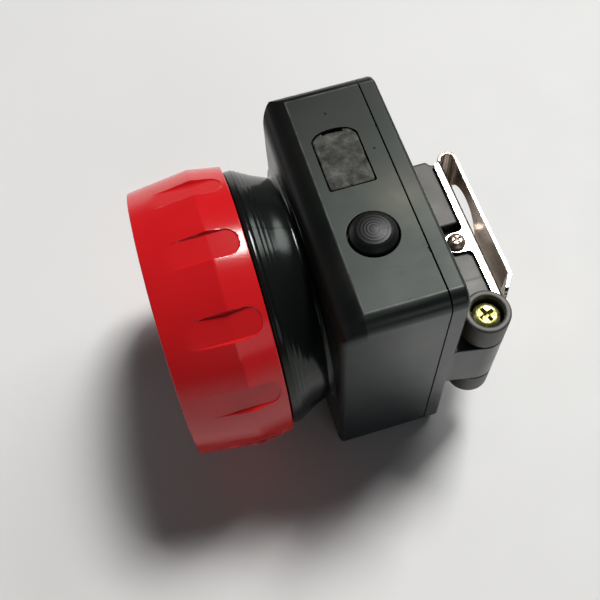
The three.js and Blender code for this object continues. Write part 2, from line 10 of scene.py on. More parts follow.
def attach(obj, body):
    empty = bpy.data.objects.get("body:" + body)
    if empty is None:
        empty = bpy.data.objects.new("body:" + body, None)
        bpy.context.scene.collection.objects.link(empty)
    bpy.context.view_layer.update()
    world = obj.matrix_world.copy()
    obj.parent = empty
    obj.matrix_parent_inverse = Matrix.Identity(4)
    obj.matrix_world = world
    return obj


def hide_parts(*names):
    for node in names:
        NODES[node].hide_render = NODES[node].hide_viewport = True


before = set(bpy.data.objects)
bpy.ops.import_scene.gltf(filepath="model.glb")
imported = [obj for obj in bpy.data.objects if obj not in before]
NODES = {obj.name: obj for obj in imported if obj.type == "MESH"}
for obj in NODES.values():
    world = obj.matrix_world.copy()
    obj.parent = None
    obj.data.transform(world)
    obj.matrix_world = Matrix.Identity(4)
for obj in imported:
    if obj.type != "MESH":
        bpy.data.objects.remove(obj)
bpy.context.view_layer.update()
scene = bpy.context.scene

# Design frame: millimetres about the lens axis. OFF carries it to the part frame.
OFF = np.array([0.0, -37.2, 32.0])
D2R = math.pi / 180.0


# ------------------------------------------------------------------ mesh tools
def obj_from(name, verts, faces, link=True):
    """verts in design millimetres -> an object in the part frame, metres"""
    v = (np.asarray(verts, float) + OFF) * 0.001
    me = bpy.data.meshes.new(name)
    me.from_pydata([tuple(p) for p in v], [], [tuple(int(i) for i in f) for f in faces])
    me.validate()
    me.update()
    bm = bmesh.new()
    bm.from_mesh(me)
    bmesh.ops.remove_doubles(bm, verts=bm.verts, dist=1e-7)
    bmesh.ops.recalc_face_normals(bm, faces=bm.faces)
    bm.to_mesh(me)
    bm.free()
    ob = bpy.data.objects.new(name, me)
    if link:
        scene.collection.objects.link(ob)
    return ob


def loft(name, loops, closed_rows=False, cap0=False, cap1=False):
    """loops: (R, N, 3), each loop closed"""
    loops = np.asarray(loops, float)
    R, N = loops.shape[:2]
    verts = loops.reshape(-1, 3)
    faces = []
    rows = R if closed_rows else R - 1
    for j in range(rows):
        a = j * N
        b = ((j + 1) % R) * N
        for i in range(N):
            k = (i + 1) % N
            faces.append((a + i, a + k, b + k, b + i))
    if cap0:
        faces.append(tuple(range(N)))
    if cap1:
        faces.append(tuple(range((R - 1) * N, R * N)))
    return obj_from(name, verts, faces)


def fillet(pts, closed=True, step=10.0):
    """2D polyline of (u, v) or (u, v, r): each corner with r gets an arc"""
    n = len(pts)
    P = [np.array(p[:2], float) for p in pts]
    R = [float(p[2]) if len(p) > 2 else 0.0 for p in pts]
    out = []
    for i in range(n):
        p = P[i]
        if R[i] <= 0 or (not closed and i in (0, n - 1)):
            out.append(p)
            continue
        a, b = P[i - 1], P[(i + 1) % n]
        ua, ub = a - p, b - p
        la, lb = np.linalg.norm(ua), np.linalg.norm(ub)
        ua, ub = ua / la, ub / lb
        ang = math.acos(max(-1, min(1, float(ua @ ub))))
        if ang > math.pi - 1e-3:
            out.append(p)
            continue
        t = R[i] / math.tan(ang / 2)
        t = min(t, 0.499 * la, 0.499 * lb)
        r = t * math.tan(ang / 2)
        c = p + (ua + ub) / np.linalg.norm(ua + ub) * (r / math.sin(ang / 2))
        s, e = p + ua * t - c, p + ub * t - c
        a0, a1 = math.atan2(s[1], s[0]), math.atan2(e[1], e[0])
        d = (a1 - a0 + math.pi) % (2 * math.pi) - math.pi
        k = max(2, int(math.ceil(abs(d) / D2R / step)))
        for j in range(k + 1):
            w = a0 + d * j / k
            out.append(c + r * np.array([math.cos(w), math.sin(w)]))
    return np.array(out)


def turn(name, profile, axis="Y", at=(0.0, 0.0), n=96, closed=True):
    """profile [(radius, height)] turned about an axis parallel to Y through (x, z), or to Z through (x, y)"""
    prof = np.asarray(profile, float)
    verts, faces, idx = [], [], []
    th = np.arange(n) * 2 * math.pi / n
    for r, h in prof:
        if r < 1e-6:
            idx.append([len(verts)])
            verts.append((at[0], h, at[1]) if axis == "Y" else (at[0], at[1], h))
        else:
            base = len(verts)
            idx.append(list(range(base, base + n)))
            for t in th:
                c, s = r * math.cos(t), r * math.sin(t)
                verts.append((at[0] + c, h, at[1] + s) if axis == "Y" else (at[0] + c, at[1] + s, h))
    m = len(prof)
    on_axis = prof[0][0] < 1e-6 and prof[-1][0] < 1e-6
    for j in range(m if (closed and not on_axis) else m - 1):
        A, B = idx[j], idx[(j + 1) % m]
        if len(A) == 1 and len(B) == 1:
            continue
        for i in range(n):
            k = (i + 1) % n
            if len(A) == 1:
                faces.append((A[0], B[k], B[i]))
            elif len(B) == 1:
                faces.append((A[i], A[k], B[0]))
            else:
                faces.append((A[i], A[k], B[k], B[i]))
    return obj_from(name, verts, faces)


def inset(outline, d):
    """moves a 2D outline inwards by d along its corner normals"""
    P = np.asarray(outline, float)
    area = 0.5 * np.sum(P[:, 0] * np.roll(P[:, 1], -1) - np.roll(P[:, 0], -1) * P[:, 1])
    e = np.roll(P, -1, 0) - P
    e /= np.linalg.norm(e, axis=1)[:, None] + 1e-12
    nrm = np.stack([e[:, 1], -e[:, 0]], 1) * (1 if area > 0 else -1)  # outward
    a = nrm + np.roll(nrm, 1, 0)
    a /= np.linalg.norm(a, axis=1)[:, None] + 1e-12
    s = 1.0 / np.clip(np.sum(a * nrm, 1), 0.4, 1.0)
    return P - a * (s * d)[:, None]


def prism(name, outline, lo, hi, plane="XY", b0=0.0, b1=0.0, seg=4):
    """outline pulled along the third axis with rounded end edges b0, b1"""
    rows = []
    if b0 > 0:
        for j in range(seg):
            a = j / seg * math.pi / 2
            rows.append((b0 * (1 - math.sin(a)), lo + b0 * (1 - math.cos(a))))
        rows.append((0, lo + b0))
    else:
        rows.append((0, lo))
    if b1 > 0:
        rows.append((0, hi - b1))
        for j in range(1, seg + 1):
            a = j / seg * math.pi / 2
            rows.append((b1 * (1 - math.cos(a)), hi - b1 * (1 - math.sin(a))))
    else:
        rows.append((0, hi))
    loops = []
    for d, h in rows:
        q = inset(outline, d) if d > 0 else np.asarray(outline, float)
        if plane == "XY":
            loops.append([(u, v, h) for u, v in q])
        elif plane == "XZ":
            loops.append([(u, h, v) for u, v in q])
        else:  # YZ, along X
            loops.append([(h, u, v) for u, v in q])
    return loft(name, loops, cap0=True, cap1=True)


def rect(u0, u1, v0, v1, r=0.0, step=10.0):
    return fillet([(u1, v0, r), (u1, v1, r), (u0, v1, r), (u0, v0, r)], step=step)


def block(name, x0, x1, y0, y1, z0, z1, r=0.0, b=0.0):
    return prism(name, rect(x0, x1, y0, y1, r), z0, z1, "XY", b, b)


def bool_op(ob, cutters, op="DIFFERENCE"):
    for c in cutters:
        m = ob.modifiers.new("b", "BOOLEAN")
        m.operation = op
        m.solver = "MANIFOLD"
        m.object = c
        bpy.context.view_layer.update()
        dg = bpy.context.evaluated_depsgraph_get()
        me = bpy.data.meshes.new_from_object(ob.evaluated_get(dg))
        ob.modifiers.clear()
        old = ob.data
        ob.data = me
        me.name = old.name
        bpy.data.meshes.remove(old)
        mesh = c.data
        bpy.data.objects.remove(c)
        bpy.data.meshes.remove(mesh)
    return ob


def shade(ob, angle=30.0, weighted=True):
    me = ob.data
    for p in me.polygons:
        p.use_smooth = True
    me.set_sharp_from_angle(angle=angle * D2R)
    if weighted:
        w = ob.modifiers.new("normals", "WEIGHTED_NORMAL")
        w.keep_sharp = True
        w.weight = 60
    return ob


# ------------------------------------------------------------------ distance fields
def smin(a, b, k):
    if k <= 0:
        return np.minimum(a, b)
    h = np.clip(0.5 + 0.5 * (b - a) / k, 0, 1)
    return b * (1 - h) + a * h - k * h * (1 - h)


def smax(a, b, k):
    return -smin(-a, -b, k)


class Field:
    def __init__(self, lo, hi, step):
        self.lo, self.step = np.array(lo, float), step
        n = [int(math.ceil((hi[i] - lo[i]) / step)) + 1 for i in range(3)]
        ax = [lo[i] + step * np.arange(n[i]) for i in range(3)]
        self.X, self.Y, self.Z = np.meshgrid(*ax, indexing="ij")

    def box(self, x0, x1, y0, y1, z0, z1, r=0.0):
        c = [(x0 + x1) / 2, (y0 + y1) / 2, (z0 + z1) / 2]
        h = [(x1 - x0) / 2 - r, (y1 - y0) / 2 - r, (z1 - z0) / 2 - r]
        q = [np.abs(self.X - c[0]) - h[0], np.abs(self.Y - c[1]) - h[1], np.abs(self.Z - c[2]) - h[2]]
        out = np.sqrt(sum(np.maximum(v, 0) ** 2 for v in q))
        return out + np.minimum(np.maximum(q[0], np.maximum(q[1], q[2])), 0) - r

    def poly(self, pts):
        """signed distance to a polygon in X, Y"""
        P = np.asarray(pts, float)
        x, y = self.X[:, :, 0], self.Y[:, :, 0]
        d = np.full(x.shape, 1e9)
        inside = np.zeros(x.shape, bool)
        for i in range(len(P)):
            a, b = P[i], P[(i + 1) % len(P)]
            e = b - a
            w0, w1 = x - a[0], y - a[1]
            t = np.clip((w0 * e[0] + w1 * e[1]) / (e @ e), 0, 1)
            d = np.minimum(d, (w0 - e[0] * t) ** 2 + (w1 - e[1] * t) ** 2)
            c = (a[1] > y) != (b[1] > y)
            with np.errstate(divide="ignore", invalid="ignore"):
                xi = (b[0] - a[0]) * (y - a[1]) / (b[1] - a[1]) + a[0]
            inside ^= c & (x < xi)
        return (np.sqrt(d) * np.where(inside, -1, 1))[:, :, None]

    def pull(self, d2, z0, z1, r=0.0):
        """2D distance pulled along Z, with edges of radius r"""
        a = d2 + r
        b = np.abs(self.Z - (z0 + z1) / 2) - (z1 - z0) / 2 + r
        return np.sqrt(np.maximum(a, 0) ** 2 + np.maximum(b, 0) ** 2) + np.minimum(np.maximum(a, b), 0) - r

    def rod(self, x, y, rad, z0, z1, r=0.0):
        return self.pull(np.sqrt((self.X - x) ** 2 + (self.Y - y) ** 2) - rad, z0, z1, r)

    def mesh(self, name, d):
        g = openvdb.FloatGrid(background=3 * self.step)
        g.copyFromArray(np.ascontiguousarray(np.clip(d, -3 * self.step, 3 * self.step), dtype=np.float32))
        pts, quads = g.convertToQuads(isovalue=0.0)
        pts = pts * self.step + self.lo
        return obj_from(name, pts, quads)


# ------------------------------------------------------------------ materials
class Mat:
    def __init__(self, name, **sockets):
        self.m = bpy.data.materials.new(name)
        self.m.use_nodes = True
        self.nt = self.m.node_tree
        self.b = self.nt.nodes["Principled BSDF"]
        for k, v in sockets.items():
            self.b.inputs[k.replace("_", " ")].default_value = v
        self.co = self.nt.nodes.new("ShaderNodeTexCoord").outputs["Object"]

    def node(self, kind, **props):
        n = self.nt.nodes.new(kind)
        for k, v in props.items():
            setattr(n, k, v)
        return n

    def link(self, a, b):
        self.nt.links.new(a, b)

    def stretch(self, sx, sy, sz, rot=(0, 0, 0)):
        n = self.node("ShaderNodeMapping")
        n.inputs["Scale"].default_value = (sx, sy, sz)
        n.inputs["Rotation"].default_value = rot
        self.link(self.co, n.inputs["Vector"])
        return n.outputs[0]

    def noise(self, scale, detail=3.0, rough=0.55, vec=None, distort=0.0):
        n = self.node("ShaderNodeTexNoise")
        n.inputs["Scale"].default_value = scale
        n.inputs["Detail"].default_value = detail
        n.inputs["Roughness"].default_value = rough
        n.inputs["Distortion"].default_value = distort
        self.link(vec if vec is not None else self.co, n.inputs["Vector"])
        return n.outputs["Fac"]

    def voronoi(self, scale, vec=None, feature="F1"):
        n = self.node("ShaderNodeTexVoronoi", feature=feature)
        n.inputs["Scale"].default_value = scale
        self.link(vec if vec is not None else self.co, n.inputs["Vector"])
        return n.outputs["Distance"]

    def ramp(self, fac, stops):
        n = self.node("ShaderNodeValToRGB")
        e = n.color_ramp.elements
        while len(e) < len(stops):
            e.new(0.5)
        for i, (p, c) in enumerate(stops):
            e[i].position = p
            e[i].color = (c[0], c[1], c[2], 1) if isinstance(c, (tuple, list)) else (c, c, c, 1)
        self.link(fac, n.inputs["Fac"])
        return n.outputs["Color"]

    def span(self, fac, a, b, lo=0.0, hi=1.0):
        n = self.node("ShaderNodeMapRange")
        n.inputs["From Min"].default_value = lo
        n.inputs["From Max"].default_value = hi
        n.inputs["To Min"].default_value = a
        n.inputs["To Max"].default_value = b
        self.link(fac, n.inputs["Value"])
        return n.outputs["Result"]

    def math(self, op, a, b):
        n = self.node("ShaderNodeMath", operation=op)
        for i, v in enumerate((a, b)):
            if isinstance(v, (int, float)):
                n.inputs[i].default_value = v
            else:
                self.link(v, n.inputs[i])
        return n.outputs[0]

    def mix(self, fac, a, b):
        n = self.node("ShaderNodeMix", data_type="RGBA")
        if isinstance(fac, (int, float)):
            n.inputs[0].default_value = fac
        else:
            self.link(fac, n.inputs[0])
        for s, v in ((6, a), (7, b)):
            if isinstance(v, (tuple, list)):
                n.inputs[s].default_value = (v[0], v[1], v[2], 1)
            else:
                self.link(v, n.inputs[s])
        return n.outputs[2]

    def axes(self):
        n = self.node("ShaderNodeSeparateXYZ")
        self.link(self.co, n.inputs[0])
        return n.outputs[0], n.outputs[1], n.outputs[2]

    def near(self, v, at, full, none):
        """1 where v is within full of at, falling to 0 at none"""
        return self.span(self.math("ABSOLUTE", self.math("SUBTRACT", v, at), 0.0), 1.0, 0.0, full, none)

    def both(self, *f):
        out = f[0]
        for g in f[1:]:
            out = self.math("MULTIPLY", out, g)
        return out

    def color(self, out):
        self.link(out, self.b.inputs["Base Color"])

    def rough(self, out):
        self.link(out, self.b.inputs["Roughness"])

    def bump(self, height, strength, distance, prev=None):
        n = self.node("ShaderNodeBump")
        n.inputs["Strength"].default_value = strength
        n.inputs["Distance"].default_value = distance
        self.link(height, n.inputs["Height"])
        if prev is not None:
            self.link(prev, n.inputs["Normal"])
        self.link(n.outputs["Normal"], self.b.inputs["Normal"])
        return n.outputs["Normal"]


def scuffs(M, scale=90.0, width=0.012):
    """thin hairline marks in three directions, 0..1"""
    out = None
    for i, rot in enumerate(((0.3, 0.2, 0.5), (1.1, 0.4, 2.1), (0.2, 1.3, 1.2))):
        v = M.stretch(1.0, 0.06, 0.5, rot)
        d = M.noise(scale * (1 + 0.4 * i), 2.0, 0.5, v)
        line = M.math("LESS_THAN", M.math("ABSOLUTE", M.math("SUBTRACT", d, 0.5 + 0.03 * i), 0.0), width)
        out = line if out is None else M.math("MAXIMUM", out, line)
    return out


def mat_red():
    M = Mat("red_gloss_plastic", IOR=1.5, Specular_IOR_Level=0.5)
    big = M.noise(45, 2)
    col = M.ramp(big, [(0.3, (0.580, 0.0095, 0.0130)), (0.7, (0.650, 0.0130, 0.0160))])
    speck = M.ramp(M.voronoi(260), [(0.03, 1.0), (0.05, 0.0)])
    dust = M.math("MULTIPLY", speck, M.span(M.noise(120, 1), 0.0, 0.35, 0.55, 0.75))
    M.color(M.mix(dust, col, (0.70, 0.30, 0.28)))
    r = M.span(M.noise(30, 3), 0.13, 0.20, 0.3, 0.7)
    M.rough(M.math("ADD", r, M.math("MULTIPLY", scuffs(M, 160, 0.0025), 0.05)))
    n = M.bump(M.noise(70, 2), 0.10, 0.00025)
    M.bump(M.noise(2600, 2), 0.04, 0.00002, n)
    return M.m


def mat_black(name="black_gloss_plastic", base=0.0065, rough=(0.24, 0.31), grain=0.06, wav=0.05, tint=(0.98, 1.14, 1.08), level=0.5):
    M = Mat(name, IOR=1.5, Specular_IOR_Level=level)
    big = M.noise(70, 3)
    col = M.ramp(big, [(0.30, tuple(base * c * 0.82 for c in tint)), (0.70, tuple(base * c * 1.18 for c in tint))])
    speck = M.ramp(M.voronoi(330), [(0.030, 1.0), (0.045, 0.0)])
    dust = M.math("MULTIPLY", speck, M.span(M.noise(90, 1), 0.0, 0.5, 0.58, 0.70))
    M.color(M.mix(dust, col, (0.16, 0.16, 0.15)))
    r = M.span(M.noise(120, 4), rough[0], rough[1], 0.3, 0.7)
    M.rough(M.math("ADD", r, M.math("MULTIPLY", scuffs(M, 260, 0.0015), 0.02)))
    n = M.bump(M.noise(48, 2), wav, 0.0004)
    M.bump(M.noise(3600, 3), grain, 0.00003, n)
    return M.m


def mat_case():
    """case and neck: satin moulded case, polished neck, hazy handling marks partly painted as sheen on the top face,
    worn lines along the crisp corners on the button side partly painted as highlight, and painted reflections on the
    end faces, the front face and the top face
    """
    M = Mat("case_black_plastic", IOR=1.5, Specular_IOR_Level=0.36, Specular_Tint=(0.90, 1.0, 0.93, 1.0))
    x, y, z = M.axes()
    ax = M.math("ABSOLUTE", x, 0.0)
    neck = M.span(y, 1.0, 0.0, -0.0060, -0.0050)
    case = M.math("SUBTRACT", 1.0, neck)
    col = M.ramp(M.noise(70, 3), [(0.30, (0.0052, 0.0062, 0.0060)), (0.70, (0.0076, 0.0090, 0.0084))])
    # hazy handling marks, partly painted sheen: a lighter tone in patches, strongest on the top face
    haze_and_sheen = M.span(M.noise(34, 4, 0.55, M.stretch(1.0, 0.6, 1.0, (0, 0, 0.6)), 0.8), 0.0, 1.0, 0.48, 0.68)
    up = M.span(z, 0.0, 1.0, 0.0634, 0.0638)
    col = M.mix(M.both(haze_and_sheen, case, M.span(up, 0.25, 0.8)), col, (0.0210, 0.0200, 0.0160))
    # painted reflection: a lighter bluish tone on the two end faces
    side = M.both(M.span(ax, 0.0, 1.0, 0.0288, 0.0293), M.span(M.noise(60, 3), 0.5, 1.0, 0.3, 0.7))
    col = M.mix(side, col, (0.0105, 0.0150, 0.0195))
    # painted reflection: a lighter brownish patch on the top face beside the button
    reflection_patch = M.both(M.near(x, 0.0035, 0.0005, 0.0100), M.near(y, 0.0155, 0.0005, 0.0080), up, M.span(M.noise(150, 3), 0.35, 1.0, 0.35, 0.65))
    # painted reflection: a lighter purplish tone on the front face beside the neck, on the -X half
    painted_brow_reflection = M.both(M.span(y, 1.0, 0.0, -0.0030, -0.0012), M.span(z, 1.0, 0.0, 0.0592, 0.0612), M.span(x, 1.0, 0.0, -0.0160, 0.0), case)
    col = M.mix(painted_brow_reflection, col, (0.0240, 0.0215, 0.0250))
    col = M.mix(M.math("MULTIPLY", reflection_patch, 0.8), col, (0.0950, 0.0800, 0.0540))
    # painted reflection: a lighter patch on the top face between the pad and the button
    reflection_patch2 = M.both(M.near(x, -0.0010, 0.0005, 0.0060), M.near(y, 0.0075, 0.0005, 0.0075), up, M.span(M.noise(110, 3), 0.2, 1.0, 0.40, 0.65))
    col = M.mix(M.math("MULTIPLY", reflection_patch2, 0.6), col, (0.0560, 0.0570, 0.0490))
    speck = M.ramp(M.voronoi(330), [(0.030, 1.0), (0.045, 0.0)])
    dust = M.math("MULTIPLY", speck, M.span(M.noise(90, 1), 0.0, 0.5, 0.60, 0.72))
    col = M.mix(dust, col, (0.12, 0.12, 0.115))
    # worn corners, partly painted highlight: a lighter line along the crisp top corners at the front and at the hinge
    # end
    front = M.both(M.near(y, 0.00028, 0.00004, 0.00020), M.span(ax, 1.0, 0.0, 0.0261, 0.0264))
    end = M.both(M.near(ax, 0.0261, 0.00006, 0.00026), M.span(y, 0.0, 1.0, 0.0001, 0.0003), M.span(y, 1.0, 0.0, 0.0195, 0.0200))
    wear_and_highlight_noise = M.span(M.noise(240, 3), 0.25, 1.0, 0.36, 0.62)
    edge_wear_and_highlight = M.both(M.math("MAXIMUM", front, end), up, wear_and_highlight_noise)
    M.color(M.mix(edge_wear_and_highlight, col, (0.095, 0.10, 0.092)))
    ends = M.both(M.span(ax, 0.0, 1.0, 0.02602, 0.02616), M.span(y, 0.0, 1.0, -0.0045, 0.0100))
    front_run = M.both(M.span(y, 1.0, 0.0, 0.00010, 0.00024), M.span(x, 1.0, 0.0, 0.0, 0.020))
    cheek = M.both(M.span(y, 1.0, 0.0, -0.00015, 0.00008), M.span(z, 0.0, 1.0, 0.0585, 0.0612), case)
    far = M.both(M.span(x, 1.0, 0.0, -0.0240, 0.0080), up)
    brow = M.both(M.span(y, 1.0, 0.0, -0.0030, -0.0012), M.span(z, 1.0, 0.0, 0.0592, 0.0612), M.span(x, 1.0, 0.0, -0.0160, 0.0), case)
    level = M.math("SUBTRACT", M.span(ends, 0.34, 0.60), M.math("MULTIPLY", cheek, 0.26))
    level = M.math("SUBTRACT", level, M.math("MULTIPLY", far, 0.11))
    level = M.math("ADD", level, M.math("MULTIPLY", brow, 0.34))
    M.link(level, M.b.inputs["Specular IOR Level"])
    satin = M.span(M.noise(90, 4), 0.41, 0.46, 0.3, 0.7)
    satin = M.math("SUBTRACT", satin, M.math("MULTIPLY", ends, 0.15))
    satin = M.math("SUBTRACT", satin, M.math("MULTIPLY", front_run, 0.12))
    satin = M.math("ADD", satin, M.math("MULTIPLY", haze_and_sheen, 0.05))
    gloss = M.span(M.noise(150, 3), 0.15, 0.21, 0.3, 0.7)
    r = M.math("ADD", M.math("MULTIPLY", satin, case), M.math("MULTIPLY", gloss, neck))
    M.rough(M.math("ADD", r, M.math("MULTIPLY", scuffs(M, 230, 0.0018), 0.03)))
    n = M.bump(M.noise(40, 1), 0.05, 0.0004)
    M.bump(M.noise(4200, 2), 0.03, 0.00003, n)
    return M.m


def mat_blade():
    """nickel plated spring steel, browned on its faces, bright on the cut edges, which painted shade darkens towards
    the curl
    """
    M = Mat("clip_blade_steel", Metallic=1.0)
    x, y, z = M.axes()
    f = M.noise(160, 3, 0.55, M.stretch(0.35, 1.0, 1.6))
    face = M.ramp(f, [(0.30, (0.30, 0.245, 0.205)), (0.70, (0.46, 0.40, 0.355))])
    cut = M.math("ADD", M.span(z, 0.0, 1.0, 0.04384, 0.04392), M.span(z, 1.0, 0.0, 0.02008, 0.02016))
    # painted shade: the cut edges darken towards the curl
    cut = M.math("MULTIPLY", cut, M.span(x, 0.15, 1.0, -0.0158, -0.0125))
    M.color(M.mix(cut, face, (0.56, 0.54, 0.51)))
    g = M.noise(1500, 3, 0.6, M.stretch(0.25, 1.0, 1.0))
    M.rough(M.span(g, 0.12, 0.20, 0.3, 0.7))
    M.bump(g, 0.03, 0.00003)
    return M.m


def mat_rubber(name, dark=(0.010, 0.011, 0.011), light=(0.045, 0.046, 0.043), rough=(0.62, 0.85), scale=300, depth=0.00012, patch=0.0):
    M = Mat(name, IOR=1.48, Specular_IOR_Level=0.35)
    a = M.noise(scale, 5, 0.66, None, 0.15)
    c = M.noise(scale * 3.4, 3, 0.6)
    f = M.math("ADD", M.math("MULTIPLY", a, 0.72), M.math("MULTIPLY", c, 0.28))
    if patch:
        f = M.math("ADD", f, M.span(M.noise(scale * 0.35, 2), -patch, patch, 0.3, 0.7))
    M.color(M.ramp(f, [(0.40, dark), (0.52, tuple(0.35 * p + 0.65 * q for p, q in zip(light, dark))), (0.66, light)]))
    M.rough(M.span(c, rough[0], rough[1], 0.3, 0.7))
    n = M.bump(f, 0.55, depth)
    M.bump(M.noise(5200, 2), 0.25, 0.00003, n)
    return M.m


def mat_metal(name, col_a, col_b, rough=(0.12, 0.22), brush=(1.0, 1.0, 1.0), spots=0.0, scale=400):
    M = Mat(name, Metallic=1.0)
    f = M.noise(scale * 0.25, 3)
    M.color(M.ramp(f, [(0.32, col_a), (0.68, col_b)]))
    g = M.noise(scale * 4, 3, 0.6, M.stretch(*brush))
    M.rough(M.span(g, rough[0], rough[1], 0.3, 0.7))
    M.bump(g, 0.025, 0.00003)
    return M.m


def mat_zinc():
    M = Mat("yellow_zinc_plating", Metallic=1.0)
    f = M.noise(420, 3, 0.6, None, 0.8)
    M.color(M.ramp(f, [(0.36, (0.10, 0.12, 0.03)), (0.50, (0.30, 0.29, 0.09)), (0.64, (0.58, 0.50, 0.29))]))
    g = M.noise(1900, 3)
    M.rough(M.span(g, 0.38, 0.48, 0.3, 0.7))
    n = M.bump(M.noise(820, 2, 0.5, None, 0.4), 0.70, 0.00022)
    M.bump(g, 0.08, 0.00004, n)
    return M.m


def mat_lens():
    M = Mat("clear_lens", IOR=1.49, Transmission_Weight=1.0)
    M.color(M.ramp(M.noise(60, 2), [(0.3, (0.975, 0.985, 0.985)), (0.7, (0.995, 1.0, 1.0))]))
    M.rough(M.math("ADD", M.span(M.noise(90, 3), 0.01, 0.035, 0.3, 0.7), M.math("MULTIPLY", scuffs(M, 70, 0.004), 0.08)))
    M.bump(M.noise(120, 1), 0.02, 0.00005)
    return M.m


def mat_board(name, base, trace, scale=900.0):
    M = Mat(name, IOR=1.5, Specular_IOR_Level=0.5)
    v = M.node("ShaderNodeTexVoronoi", feature="DISTANCE_TO_EDGE", distance="MANHATTAN") if False else M.node("ShaderNodeTexBrick")
    v.inputs["Scale"].default_value = scale * 0.25
    v.inputs["Mortar Size"].default_value = 0.035
    v.inputs["Color1"].default_value = (1, 1, 1, 1)
    v.inputs["Color2"].default_value = (0.7, 0.7, 0.7, 1)
    v.inputs["Mortar"].default_value = (0, 0, 0, 1)
    M.link(M.co, v.inputs["Vector"])
    pads = M.ramp(M.voronoi(scale), [(0.16, 1.0), (0.2, 0.0)])
    c = M.mix(v.outputs["Fac"], base, trace)
    M.color(M.mix(M.math("MULTIPLY", pads, M.span(M.noise(300, 1), 0, 1, 0.5, 0.6)), c, (0.75, 0.62, 0.35)))
    M.rough(M.span(M.noise(500, 2), 0.3, 0.5, 0.3, 0.7))
    M.bump(v.outputs["Fac"], 0.2, 0.00004)
    return M.m


def mat_plain(name, a, b, rough=(0.4, 0.6), scale=300.0, depth=0.00005, metallic=0.0, strength=0.2, brush=(1, 1, 1)):
    M = Mat(name, Metallic=metallic)
    vec = M.stretch(*brush)
    f = M.noise(scale, 3, 0.55, vec)
    M.color(M.ramp(f, [(0.3, a), (0.7, b)]))
    M.rough(M.span(M.noise(scale * 3, 3, 0.55, vec), rough[0], rough[1], 0.3, 0.7))
    M.bump(M.noise(scale * 5, 2, 0.5, vec), strength, depth)
    return M.m


def mat_floor():
    M = Mat("pale_floor", IOR=1.45, Specular_IOR_Level=0.25)
    M.color(M.ramp(M.noise(9, 3), [(0.3, (0.745, 0.742, 0.735)), (0.7, (0.775, 0.772, 0.765))]))
    M.rough(M.span(M.noise(60, 3), 0.50, 0.62, 0.3, 0.7))
    M.bump(M.noise(900, 3), 0.05, 0.00005)
    return M.m


RED = mat_red()
BLACK = mat_case()
BLADE = mat_blade()
# painted sheen: the seat's black plastic gets a lighter warm grey base colour standing in for its sheen
SEATBLACK = mat_black("black_satin_plastic_painted_sheen", 0.036, (0.42, 0.50), 0.08, 0.03, (1.20, 1.10, 0.87))
BUTTON = mat_black("button_plastic", 0.006, (0.36, 0.44), 0.06, 0.03, level=0.26)
PAD = mat_rubber("pad_rubber", (0.006, 0.0075, 0.0065), (0.112, 0.113, 0.094), (0.55, 0.80), 520, 0.00016, 0.05)
RUBBER = mat_rubber("seal_rubber", (0.008, 0.008, 0.008), (0.018, 0.018, 0.018), (0.5, 0.7), 500, 0.00005)
NICKEL = mat_metal("nickel_plated_steel", (0.74, 0.70, 0.655), (0.82, 0.785, 0.745), (0.11, 0.16), (0.25, 1.0, 1.0))
ZINC = mat_zinc()
SCREWSTEEL = mat_metal("screw_nickel", (0.50, 0.405, 0.325), (0.66, 0.565, 0.475), (0.27, 0.37), (1.0, 1.0, 1.0))
LENS = mat_lens()
PLATING = mat_metal("reflector_plating", (0.88, 0.89, 0.90), (0.94, 0.95, 0.95), (0.03, 0.08), (1, 1, 1))
ALU = mat_metal("turned_aluminium", (0.70, 0.71, 0.72), (0.78, 0.79, 0.80), (0.25, 0.40), (1, 0.15, 1))
PHOSPHOR = mat_plain("led_phosphor", (0.78, 0.62, 0.05), (0.88, 0.74, 0.12), (0.12, 0.22), 1500, 0.00002)
WHITEBOARD = mat_board("white_board", (0.78, 0.78, 0.74), (0.62, 0.62, 0.58), 700)
GREENBOARD = mat_board("green_board", (0.008, 0.10, 0.05), (0.015, 0.20, 0.09), 900)
CELL = mat_plain("cell_wrap", (0.02, 0.10, 0.32), (0.03, 0.14, 0.40), (0.22, 0.36), 120, 0.00012, 0.0, 0.3)
FOAM = mat_plain("grey_foam", (0.025, 0.026, 0.028), (0.06, 0.06, 0.062), (0.85, 0.98), 1400, 0.0003, 0.0, 0.8)
WIRE_RED = mat_plain("red_insulation", (0.40, 0.012, 0.012), (0.50, 0.018, 0.018), (0.32, 0.45), 500, 0.00004)
WIRE_BLACK = mat_plain("black_insulation", (0.010, 0.010, 0.010), (0.020, 0.020, 0.020), (0.35, 0.5), 500, 0.00004)
TONGUE = mat_plain("socket_tongue", (0.010, 0.010, 0.011), (0.020, 0.020, 0.021), (0.35, 0.5), 900, 0.00003)
SHELL = mat_metal("socket_shell", (0.70, 0.70, 0.69), (0.78, 0.78, 0.77), (0.2, 0.32), (1, 1, 0.2))
SWITCHMAT = mat_plain("switch_metal", (0.45, 0.46, 0.47), (0.60, 0.61, 0.62), (0.3, 0.42), 700, 0.00003, 1.0)
PLUNGER = mat_plain("plunger_plastic", (0.68, 0.68, 0.65), (0.76, 0.76, 0.73), (0.4, 0.55), 600, 0.00003)


def dress(ob, mat):
    ob.data.materials.clear()
    ob.data.materials.append(mat)


def piece(ob, body, node, mat, angle=30.0, weighted=True):
    shade(ob, angle, weighted)
    dress(ob, mat)
    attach(ob, body)
    nodes = node if isinstance(node, (list, tuple)) else [node]
    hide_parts(*nodes)
    return ob


